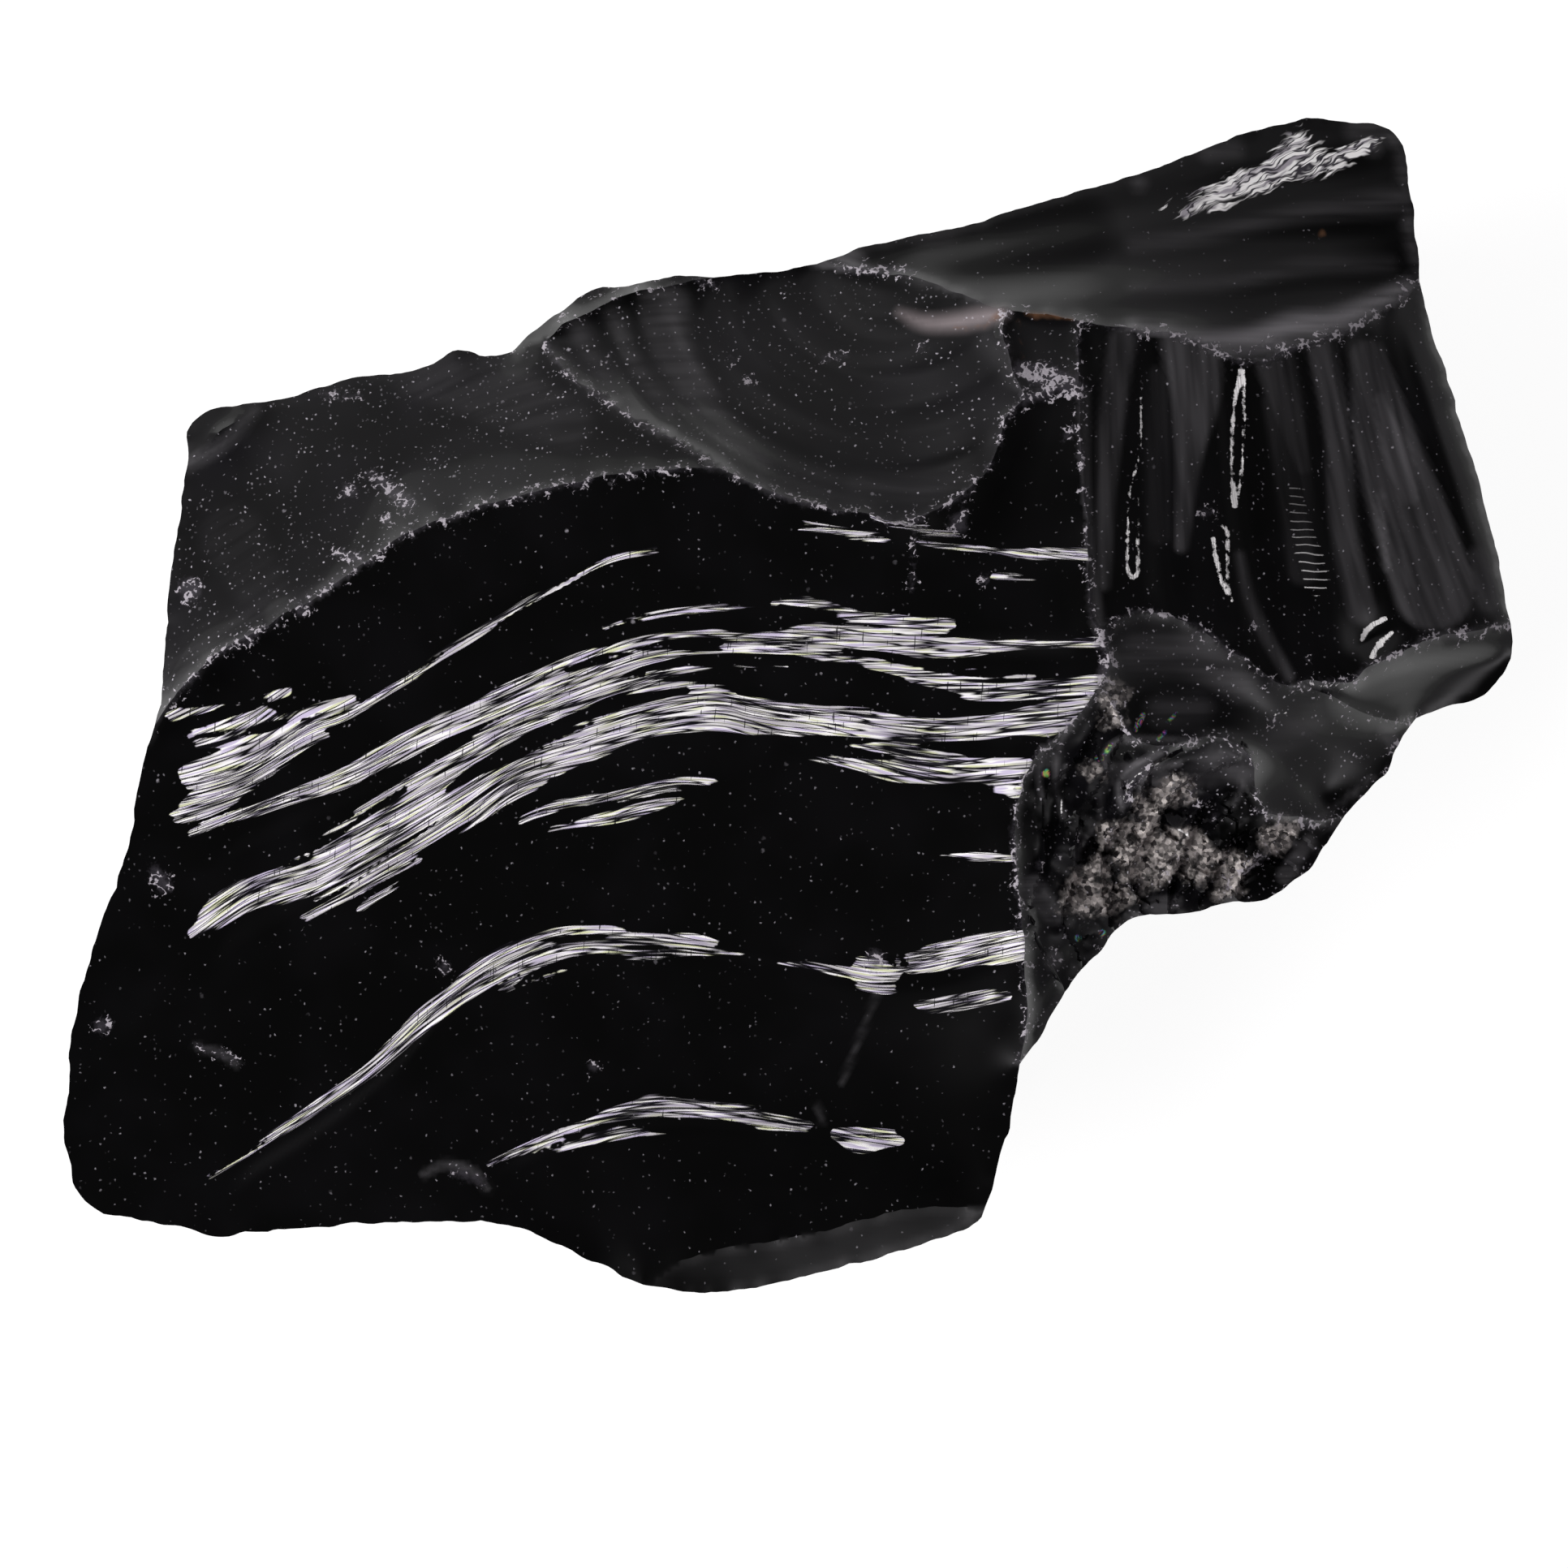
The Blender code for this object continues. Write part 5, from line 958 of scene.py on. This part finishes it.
def addFields(mesh, points, lines, topCount, dust, owner):
    # what the material reads at each point, in millimetres or as shares
    top = points[:topCount]
    seen = castPoints(top)
    names = list(faces)
    farAway = stone["farAway"]

    def isOn(wanted):
        # ridge points, owned by no face, count with every face, so that marks run up to the ridges
        return np.isin(owner, [-1] + [names.index(name) for name in wanted.split()])

    def addField(name, values, other):
        field = mesh.attributes.new(name, "FLOAT", "POINT")
        values = np.concatenate([values, np.full(len(points) - topCount, other)])
        field.data.foreach_set("value", values.astype(np.float32))

    marked = {name: strokeField(seen, strokes) for name, strokes in marks.items()}
    marked["streakHighlight"] = np.minimum(marked["streakHighlight"], -strokeField(seen, streakGaps))
    crushedRidges = [reach - nearestDistance(top, lines[name]) for name, reach in bruises.items()]
    marked["bruise"] = np.max(crushedRidges, axis=0)
    for name, values in marked.items():
        kept = isOn(markFaces[name]) if name in markFaces else True
        addField(name, np.where(kept, values, -farAway), -farAway)
    # the sheens: haze, and painted reflections
    hazeAndSheen = []
    for wanted, strokes in sheens.items():
        edge = sheenEdge.get(wanted, stone["sheenEdge"])
        for level, stroke in strokes:
            hazeAndSheen.append(isOn(wanted) * level * smoothStep(strokeField(seen, [stroke]) / edge + 0.5))
    addField("sheen", np.max(hazeAndSheen, axis=0), 0)
    addField("dust", dust, stone["flankDust"])
    dulls = np.array([face.get("dull", 0) for face in faces.values()] + [0])
    inside = smoothStep(nearestDistance(top, np.vstack(list(lines.values()))) / frost["edge"])
    matt = frost["most"] * smoothStep(0.5 + strokeField(seen, frost["strokes"]) / frost["blur"])
    addField("dull", inside * np.maximum(dulls[owner], matt), 0)
    onFluted = owner == names.index("fluted")
    x, y = seen.T
    along = np.where(onFluted, y, x)
    across = np.where(onFluted, acrossFlutes(x, y), flowAcross(x, y))
    flow = np.zeros((len(points), 3), np.float32)
    flow[:topCount, :2] = np.column_stack([along, across])
    mesh.attributes.new("flow", "FLOAT_VECTOR", "POINT").data.foreach_set("vector", flow.ravel())


def addNode(tree, kind, inputs=(), output=0, **settings):
    # adds one node and gives back one of its outputs. A second word in the kind is its operation; inputs, by
    # number or name, are outputs to link or values to set; settings are its own properties.
    kind, _, operation = kind.partition(" ")
    node = tree.nodes.new("ShaderNode" + kind)
    if operation:
        node.operation = operation
    for name, value in settings.items():
        setattr(node, name, value)
    for name, value in inputs.items() if isinstance(inputs, dict) else enumerate(inputs):
        if isinstance(value, bpy.types.NodeSocket):
            tree.links.new(value, node.inputs[name])
        else:
            node.inputs[name].default_value = value
    return node.outputs[output] if node.outputs else None


def emptyTree(owner):
    # clears the owner's nodes, and gives back what adds a node to them
    owner.use_nodes = True
    owner.node_tree.nodes.clear()
    return functools.partial(addNode, owner.node_tree)


def painted(add, colour, layers):
    # each layer's colour laid over those before it, by its share
    for share, paint in layers:
        colour = add("Mix", {0: share, 6: colour, 7: paint}, 2, data_type="RGBA")
    return colour


def hairlines(add, pattern, width):
    # 0 where the pattern crosses its middle value, and 1 from this far off it
    away = add("Math ABSOLUTE", [add("Math SUBTRACT", [pattern, 0.5])])
    return add("MapRange", [away, glass["hairlineCore"] * width, width, 0, 1], **smooth)


smooth = {"interpolation_type": "SMOOTHSTEP"}

glass = {
    "colours": {
        "body": "#030303",        # black right through
        "film": "#100f12",        # a breath of fine dust on the faces
        "sheen": "#8c898d",       # hazed glass, and painted broad faint reflections
        "bruise": "#aaa4ab",      # crushed glass is a white powder
        "hazeAndLensReflection": "#3a373d",        # shattered glass under a bruise scatters a little light
        "lens": "#958a8c",        # a painted reflection on a small chip's face
        "rust": "#6e4d37",
        "dust": "#c4bfc8",
        "crystal": "#dcd3cf", "crystalDark": "#2b2728",
        # painted highlight of fibres, flutes, wing tip and ladder: fringes, painted shade and unlit gaps
        "glintingFibre": "#fdfafa", "fibreViolet": "#cfc4df", "fibreGreen": "#dfe2b8",
        "fibreShade": "#a39da5", "fibreGap": "#0d0c10",
    },
    "ior": 1.49,
    "roughness": 0.06, "roughPowder": 0.55,
    "shine": 0.5, "dullShine": 0.16,          # shattered glass mirrors little
    "fibreDepth": 0.02, "powderDepth": 0.05,
    "hairline": 0.055, "hairlineCore": 0.15,  # a hairline's half width in the noise's values, and its core
    "crinkleHairline": 0.08,
    # crinkles 1.1 long and 0.17 wide, the degrees that they climb (turned back), and how far they bend
    "crinkleGlint": {"scale": (1 / 1.1, 1 / 0.17, 0.3), "climb": -27, "bend": (0.9, 0.9, 0)},
    "wobble": 0.14, "flatten": (1, 1, 0.5),   # how crooked the sides of cells are, and their stretch
    "facet": 0.2,                             # a crystal face's size
    "glitter": 1.3,                           # powers: the higher, the fewer bright crystals and grains
    "sparkle": 2.5,
    "hues": (7, 0.75, 0.55),                  # turns of the colour circle, how full and how bright it is
    "phase": 5.0,                             # how uneven the ladder's rungs are
    "held": {"streakHighlight": 0.18, "crinkleGlint": 0.32, "spot": 0.3},  # the most that being inside a stroke counts
    "under": {"speckle": 0.3, "patchy": 0.2},                # share of the unevenness in haze and in the lens
    # fine grains under 0.1 mm and coarser shards of 0.2 mm: a cell of this size holds one at most, of this
    # share of the cell, the more often the larger the last number. Both are drawn coarse enough to show.
    "grains": [(0.21, 0.28, 0.95), (0.9, 0.13, 0.35)], "grainCore": 0.3,
    # noise through the glass: flecks in a millimetre, layers, roughness
    "through": {
        "fine": (2.8, 4, 0.7), "coarse": (0.9, 2, 0.6), "clumps": (1.9, 2, 0.6), "smear": (0.22, 2, 0.6),
        "phase": (0.8, 1, 0.5), "spectrum": (1.6, 1, 0.5), "bend": (0.9, 2, 0.5), "wobble": (7, 1, 0.5),
    },
    # noise along the fibres, which lie 0.15 to 0.2 mm apart: its length and width, the slant in degrees,
    # layers, roughness and distortion
    "along": {
        "hairA": (5.5, 0.22, 2.2, 1, 0.5, 0.15), "hairB": (5.5, 0.22, -2.2, 1, 0.5, 0.15),
        "ragged": (4.95, 0.44, 0, 1.5, 0.5, 0), "tick": (0.1, 0.9, 4, 1, 0.5, 0),
        "tint": (1.6, 0.12, 0, 1, 0.5, 0), "shade": (3, 0.22, 1, 1.5, 0.6, 0),
    },
    # what a noise is multiplied by, and what is added
    "lifts": {
        "ragged": (0.9, -0.42), "glint": (0.3, -0.19), "crinkleGlint": (1.9, -0.91), "ladder": (0.9, -0.5),
        "speckle": (2.4, -1.36), "patchy": (0.7, -0.37), "spot": (1.2, 0.04), "crystal": (1.8, -0.8),
        "bright": (0.8, 0.08),
    },
    # a smooth rise: from this value to that one, and what it gives at each
    "rises": {
        "streakHighlight": (0.03, 0.08, 0, 1), "glint": (0, 0.05, 0, 1), "glintTone": (0.3, 0.48, 0, 1),
        "tick": (0.68, 0.72, 1, 0.15), "violet": (0.5, 0.6, 0, 1), "green": (0.44, 0.34, 0, 1),
        "shade": (0.56, 0.38, 0, 0.7), "crinkleGlint": (-0.05, 0.25, 0, 1), "crinkleTone": (0.34, 0.52, 0, 1),
        "rung": (0.84, 0.97, 0, 1), "ladder": (0, 0.08, 0, 1), "ladderTop": (7.2, 4.2, 0.18, 0.7),
        "thread": (0, 0.08, 0.22, -0.36), "powder": (0, 0.22, 0, 1), "hazeAndLensReflection": (-0.2, 0.25, 0, 0.75),
        "lens": (-0.3, 0.75, 0, 1), "rust": (-0.08, 0.25, 0, 0.75), "crystal": (-0.2, 0.3, 0, 1),
        "clumps": (0.36, 0.52, 0.15, 1), "crystalTone": (0.3, 0.62, 0.45, 1), "rainbow": (0, 0.12, 0, 1),
        "rainbowGaps": (0.42, 0.56, 0, 1), "crowd": (0.36, 0.62, 0.4, 1), "kept": (1, 1.02, 0, 1),
        "dusty": (0.1, 0.9, 0.45, 1), "smear": (0.35, 0.75, 0, 1), "sheen": (0.25, 0.7, 0.17, 0.5),
    },
}


def makeGlass():
    # obsidian, freshly broken: volcanic glass, black right through, so the smooth faces show reflections, and
    # painted reflections in sheens and on a chip; what is pale is painted highlight on the fibres, flutes and
    # wing tip, and, where it is shattered, bruised ridges, crystals and dust
    material = bpy.data.materials.new("brokenObsidian")
    add = emptyTree(material)
    colours = {name: toLinear(value) for name, value in glass["colours"].items()}
    lifts, rises, held, under = (glass[name] for name in ("lifts", "rises", "held", "under"))
    place = add("VectorMath SCALE", {0: add("TexCoord", output="Object"), "Scale": 1 / mm})
    field = {name: add("Attribute", output="Fac", attribute_name=name) for name in fieldNames}
    flow = add("Attribute", output="Vector", attribute_name="flow")
    through = {}
    for name, (scale, layers, roughness) in glass["through"].items():
        settings = {"Vector": place, "Scale": scale, "Detail": layers, "Roughness": roughness}
        through[name] = add("TexNoise", settings, "Color" if name in ("bend", "wobble") else "Fac")
    along = {}
    for name, (length, width, slant, layers, roughness, distortion) in glass["along"].items():
        turned = add("Mapping", {0: flow, "Rotation": (0, 0, math.radians(slant))})
        drawn = add("Mapping", {0: turned, "Scale": (1 / length, 1 / width, 1)})
        settings = {"Vector": drawn, "Scale": 1, "Detail": layers, "Roughness": roughness}
        along[name] = add("TexNoise", settings | {"Distortion": distortion})
    fine, coarse = through["fine"], through["coarse"]
    wobble = add("VectorMath MULTIPLY_ADD", [through["wobble"], (glass["wobble"],) * 3, place])
    wobble = add("Mapping", {0: wobble, "Scale": glass["flatten"]})

    # painted highlights on the fibres of the main face, and painted glints on the flutes
    # fibres: strands parted by two sets of hairlines that cross at a small angle, so that they look plaited
    inStreakHighlight = add("Math MULTIPLY_ADD", [along["ragged"], *lifts["ragged"]])
    inStreakHighlight = add("Math ADD", [add("Math MINIMUM", [field["streakHighlight"], held["streakHighlight"]]), inStreakHighlight])
    inStreakHighlight = add("MapRange", [inStreakHighlight, *rises["streakHighlight"]], **smooth)
    # painted glints on the flutes and round the pit
    inGlint = add("Math ADD", [field["glint"], add("Math MULTIPLY_ADD", [fine, *lifts["glint"]])])
    inGlint = add("MapRange", [inGlint, *rises["glint"]], **smooth)
    glintingFibre = [hairlines(add, along[name], glass["hairline"]) for name in ("hairA", "hairB")]
    glintingFibre = add("Math MULTIPLY", glintingFibre)
    fibreHighlightPaint = painted(add, colours["glintingFibre"], [
        (add("MapRange", [along["tint"], *rises["violet"]], **smooth), colours["fibreViolet"]),
        (add("MapRange", [along["tint"], *rises["green"]], **smooth), colours["fibreGreen"]),
        (add("MapRange", [along["shade"], *rises["shade"]], **smooth), colours["fibreShade"]),
    ])
    tick = add("MapRange", [along["tick"], *rises["tick"]], **smooth)
    fibreHighlightPaint = painted(add, colours["fibreGap"], [(add("Math MULTIPLY", [glintingFibre, tick]), fibreHighlightPaint)])
    glintTone = add("MapRange", [fine, *rises["glintTone"]], **smooth)
    glintPaint = painted(add, colours["fibreShade"], [(glintTone, colours["glintingFibre"])])

    # painted glint at the wing's tip
    # crinkles: the same hairlines on a bent, short-stranded flow that climbs to the right
    bent = add("VectorMath MULTIPLY_ADD", [through["bend"], glass["crinkleGlint"]["bend"], place])
    bent = add("Mapping", {0: bent, "Rotation": (0, 0, math.radians(glass["crinkleGlint"]["climb"]))})
    bent = add("Mapping", {0: bent, "Scale": glass["crinkleGlint"]["scale"]})
    lines = add("TexNoise", {"Vector": bent, "Scale": 1, "Detail": 1, "Distortion": 0.15})
    lines = hairlines(add, lines, glass["crinkleHairline"])
    ends = add("TexNoise", {"Vector": bent, "Scale": 0.5, "Detail": 2, "Roughness": 0.6})
    tones = add("TexNoise", {"Vector": bent, "Scale": 0.7, "Detail": 1, "Roughness": 0.6})
    inCrinkleGlint = add("Math MINIMUM", [field["crinkleGlint"], held["crinkleGlint"]])
    inCrinkleGlint = add("Math ADD", [inCrinkleGlint, add("Math MULTIPLY_ADD", [ends, *lifts["crinkleGlint"]])])
    inCrinkleGlint = add("MapRange", [inCrinkleGlint, *rises["crinkleGlint"]], **smooth)
    tones = add("MapRange", [tones, *rises["crinkleTone"]], **smooth)
    crinkleGlintPaint = painted(add, colours["fibreShade"], [(tones, colours["glintingFibre"])])
    crinkleGlintPaint = painted(add, colours["hazeAndLensReflection"], [(lines, crinkleGlintPaint)])

    # the ladder: painted glints in short level lines one above the other, fainter towards the top
    height = add("SeparateXYZ", [place], "Y")
    phase = add("Math MULTIPLY", [height, 2 * math.pi / ladderPitch])
    phase = add("Math MULTIPLY_ADD", [through["phase"], glass["phase"], phase])
    rungGlints = add("MapRange", [add("Math SINE", [phase]), *rises["rung"]], **smooth)
    inLadder = add("Math ADD", [field["ladder"], add("Math MULTIPLY_ADD", [fine, *lifts["ladder"]])])
    rungGlints = add("Math MULTIPLY", [rungGlints, add("MapRange", [inLadder, *rises["ladder"]], **smooth)])
    rungGlints = add("Math MULTIPLY", [rungGlints, add("MapRange", [height, *rises["ladderTop"]], **smooth)])

    # powder on bruised ridges and spots, in ragged flecks and threads, with a grey haze under it
    thread = add("TexNoise", {"Vector": wobble, "Scale": 1.7, "Detail": 2, "Roughness": 0.6})
    thread = add("Math ABSOLUTE", [add("Math SUBTRACT", [thread, 0.5])])
    speckle = add("Math MULTIPLY_ADD", [fine, *lifts["speckle"]])
    speckle = add("Math ADD", [speckle, add("MapRange", [thread, *rises["thread"]], **smooth)])
    patchy = add("Math MULTIPLY_ADD", [coarse, *lifts["patchy"]])
    spot = add("Math MULTIPLY_ADD", [add("Math MINIMUM", [field["spot"], held["spot"]]), *lifts["spot"]])
    bruised = add("Math MAXIMUM", [add("Math ADD", [field["bruise"], patchy]), spot])
    powder = add("MapRange", [add("Math ADD", [bruised, speckle]), *rises["powder"]], **smooth)
    hazy = add("Math MULTIPLY_ADD", [speckle, under["speckle"], bruised])
    hazy = add("MapRange", [hazy, *rises["hazeAndLensReflection"]], **smooth)
    # the lens: a painted reflection on a small chip's face
    lens = add("Math MULTIPLY_ADD", [patchy, under["patchy"], field["hazeAndLensReflection"]])
    lens = add("MapRange", [lens, *rises["lens"]], **smooth)
    rust = add("MapRange", [add("Math ADD", [field["rust"], patchy]), *rises["rust"]], **smooth)

    # crystals: cells of many tones, in clumps
    crystal = add("Math ADD", [field["crystal"], add("Math MULTIPLY_ADD", [coarse, *lifts["crystal"]])])
    crystal = add("MapRange", [crystal, *rises["crystal"]], **smooth)
    clumps = add("MapRange", [through["clumps"], *rises["clumps"]], **smooth)
    crystal = add("Math MULTIPLY", [crystal, clumps])
    facets = add("TexVoronoi", {"Vector": wobble, "Scale": 1 / glass["facet"]}, "Color")
    glitter = add("Math POWER", [add("SeparateColor", [facets], "Blue"), glass["glitter"]])
    tone = add("Math MULTIPLY", [add("MapRange", [fine, *rises["crystalTone"]], **smooth), glitter])
    crystalPaint = painted(add, colours["crystalDark"], [(tone, colours["crystal"])])

    # a few flecks in the colours of the rainbow
    turns, fullness, brightness = glass["hues"]
    hue = add("Math FRACT", [add("Math MULTIPLY", [through["spectrum"], turns])])
    hue = add("CombineColor", [hue, fullness, brightness], mode="HSV")
    rainbow = add("MapRange", [field["rainbow"], *rises["rainbow"]], **smooth)
    rainbow = add("Math MULTIPLY", [rainbow, add("MapRange", [fine, *rises["rainbowGaps"]], **smooth)])

    # dust: a grain at the middle of some cells, of uneven outline and brightness
    crowd = add("Math MULTIPLY", [field["dust"], add("MapRange", [coarse, *rises["crowd"]], **smooth)])
    dusty = add("MapRange", [field["dust"], *rises["dusty"]], **smooth)
    dust = 0.0
    for cell, size, often in glass["grains"]:
        distance = add("TexVoronoi", {"Vector": wobble, "Scale": 1 / cell}, "Distance")
        luck = add("SeparateColor", [distance.node.outputs["Color"]])
        near = add("MapRange", [distance, size, glass["grainCore"] * size, 0, 1], **smooth)
        kept = add("MapRange", [add("Math MULTIPLY_ADD", [crowd, often, luck]), *rises["kept"]], **smooth)
        bright = add("Math POWER", [luck.node.outputs["Green"], glass["sparkle"]])
        bright = add("Math MULTIPLY", [add("Math MULTIPLY_ADD", [bright, *lifts["bright"]]), dusty])
        grain = add("Math MULTIPLY", [add("Math MULTIPLY", [near, kept]), bright])
        dust = add("Math MAXIMUM", [grain, dust])

    smear = add("MapRange", [through["smear"], *rises["smear"]], **smooth)
    smear = add("Math MULTIPLY", [smear, field["dust"]])
    # painted sheen: broad faint reflections, and haze, in streaks along the flow
    sheen = add("MapRange", [along["ragged"], *rises["sheen"]], **smooth)
    sheen = add("Math MULTIPLY", [field["sheen"], sheen])
    colour = painted(add, colours["body"], [
        (smear, colours["film"]), (sheen, colours["sheen"]), (inStreakHighlight, fibreHighlightPaint), (hazy, colours["hazeAndLensReflection"]),
        (lens, colours["lens"]), (crystal, crystalPaint), (inGlint, glintPaint), (rungGlints, colours["glintingFibre"]),
        (inCrinkleGlint, crinkleGlintPaint), (rust, colours["rust"]), (powder, colours["bruise"]), (rainbow, hue),
        (dust, colours["dust"]),
    ])
    pale = add("Math MAXIMUM", [add("Math MAXIMUM", [powder, dust]), add("Math MAXIMUM", [crystal, hazy])])
    rough = add("MapRange", [pale, 0, 1, glass["roughness"], glass["roughPowder"]])
    shine = add("MapRange", [field["dull"], 0, 1, glass["shine"], glass["dullShine"]], **smooth)
    strength = add("Math MAXIMUM", [inStreakHighlight, inGlint])
    bump = add("Bump", {"Strength": strength, "Distance": glass["fibreDepth"] * mm, "Height": glintingFibre})
    strength = add("Math MAXIMUM", [powder, crystal])
    depth = glass["powderDepth"] * mm
    bump = add("Bump", {"Strength": strength, "Distance": depth, "Height": fine, "Normal": bump})
    shader = add("BsdfPrincipled", {
        "IOR": glass["ior"], "Base Color": colour, "Roughness": rough, "Normal": bump,
        "Specular IOR Level": shine,
    })
    add("OutputMaterial", [shader])
    return material


# A white sweep lit from below, most where the stone stands; in metres, its glow fades from near to far.
stage = {
    "floor": "#898888", "roughness": 0.9, "shine": 0.1, "light": "#ffffff",
    "glow": (0.92, 0.36), "near": 0.04, "far": 0.12, "reach": 2.5,
}


def makeFloor():
    # a flat square under the stone, of matt card that hides where the floor ends
    half = stage["reach"]
    mesh = bpy.data.meshes.new("floor")
    corners = [(-half, -half, 0), (half, -half, 0), (half, half, 0), (-half, half, 0)]
    mesh.from_pydata(corners, [], [(0, 1, 2, 3)])
    floor = bpy.data.objects.new("floor", mesh)
    material = bpy.data.materials.new("paleCard")
    add = emptyTree(material)
    away = add("VectorMath LENGTH", [add("TexCoord", output="Object")], "Value")
    glow = add("MapRange", [away, stage["near"], stage["far"], *stage["glow"]], **smooth)
    shader = add("BsdfPrincipled", {
        "Base Color": toLinear(stage["floor"]), "Roughness": stage["roughness"],
        "Specular IOR Level": stage["shine"],
        "Emission Color": toLinear(stage["light"]), "Emission Strength": glow,
    })
    add("OutputMaterial", [shader])
    mesh.materials.append(material)
    bpy.context.scene.collection.objects.link(floor)


# Soft boxes: where each stands (degrees round from +X, degrees down from overhead), how far off, its side
# in metres, and its power in watts.
lamps = {
    "key": {"round": -165, "down": 60, "distance": 0.7, "side": 0.6, "power": 7.5},
}

# The room: grey, brightest low down, with dark parts overhead where the broad face and the fluted face look.
room = {
    # height of the direction (0 level, 1 overhead) and the brightness there
    "heights": [(0.0, 0.42), (0.17, 0.36), (0.34, 0.31), (0.52, 0.29), (0.75, 0.27), (1.0, 0.26)],
    # dark parts: degrees round, degrees down, then cosines from the middle and the share of light left there
    "dark": [
        (-127, 24, [(0.55, 1.0), (0.70, 0.75), (0.80, 0.40), (0.87, 0.26), (0.96, 0.18)]),
        (24, 38, [(0.74, 1.0), (0.84, 0.62), (0.92, 0.32), (0.97, 0.22)]),
    ],
    "tint": (1.0, 0.97, 1.01),
    # soft bright patches: degrees round, degrees down, spread in degrees, brightness
    "patches": [(122, 60, 9, 0.22), (-66, 60, 12, 1.3), (166, 74, 10, 0.5)],
}


def towards(turn, down):
    # the unit direction this many degrees round from +X and down from overhead
    a, b = math.radians(turn), math.radians(down)
    return Vector((math.sin(b) * math.cos(a), math.sin(b) * math.sin(a), math.cos(b)))


def makeLamps():
    for name, lamp in lamps.items():
        data = bpy.data.lights.new(name, "AREA")
        data.size = lamp["side"]
        data.energy = lamp["power"]
        light = bpy.data.objects.new(name, data)
        light.location = towards(lamp["round"], lamp["down"]) * lamp["distance"]
        light.rotation_euler = light.location.to_track_quat("Z", "Y").to_euler()
        light.visible_glossy = False  # the smooth glass mirrors the soft room alone
        bpy.context.scene.collection.objects.link(light)


def makeRoom():
    # brightness by height, times what the dark leaves of it, plus level * e^(k (c - 1)) for each patch, where
    # c is the cosine from its middle and k is 1 / spread^2
    world = bpy.data.worlds.new("room")
    add = emptyTree(world)
    direction = add("TexCoord", output="Generated")
    shades = [((0, 0, 1), room["heights"])]
    shades += [(towards(turn, down), shares) for turn, down, shares in room["dark"]]
    total = 1.0
    for axis, points in shades:
        # straight lines between the points
        shade = add("ValToRGB", [add("VectorMath DOT_PRODUCT", [direction, axis], "Value")])
        stops = shade.node.color_ramp.elements
        while len(stops) < len(points):
            stops.new(0.5)
        for stop, (position, level) in zip(stops, points):
            stop.position = position
            stop.color = (level, level, level, 1.0)
        total = add("Math MULTIPLY", [shade, total])
    for turn, down, spread, level in room["patches"]:
        sharpness = 1 / math.radians(spread) ** 2
        cosine = add("VectorMath DOT_PRODUCT", [direction, towards(turn, down)], "Value")
        bell = add("Math EXPONENT", [add("Math MULTIPLY_ADD", [cosine, sharpness, -sharpness])])
        total = add("Math MULTIPLY_ADD", [bell, level, total])
    background = add("Background", {"Color": room["tint"] + (1.0,), "Strength": total})
    add("OutputWorld", [background])
    bpy.context.scene.world = world


view = {
    "elevation": 84, "lens": 250, "sensor": 36, "nearest": 0.01,
    "frameWidth": 64.4, "planeHeight": 17.0, "middle": (-0.16, -4.35),
}


def makeCamera():
    # looks down along +Y from this elevation; the frame is this wide at the height of the broad face
    data = bpy.data.cameras.new("camera")
    data.lens = view["lens"]
    data.sensor_width = view["sensor"]
    data.clip_start = view["nearest"]
    camera = bpy.data.objects.new("camera", data)
    tilt = math.radians(view["elevation"])
    distance = view["lens"] / view["sensor"] * view["frameWidth"] * mm
    target = Vector((*view["middle"], view["planeHeight"])) * mm
    camera.location = target + Vector((0, -math.cos(tilt), math.sin(tilt))) * distance
    camera.rotation_euler = (math.pi / 2 - tilt, 0, 0)
    bpy.context.scene.collection.objects.link(camera)
    bpy.context.scene.camera = camera


makeCamera()
makeRoom()
makeLamps()
makeFloor()
print("stage ready")
piece = makeStone()
piece.data.materials.append(makeGlass())
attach(piece, "root")
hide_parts(stone["node"])
bpy.context.scene.view_settings.view_transform = "Standard"
print("stone dressed")
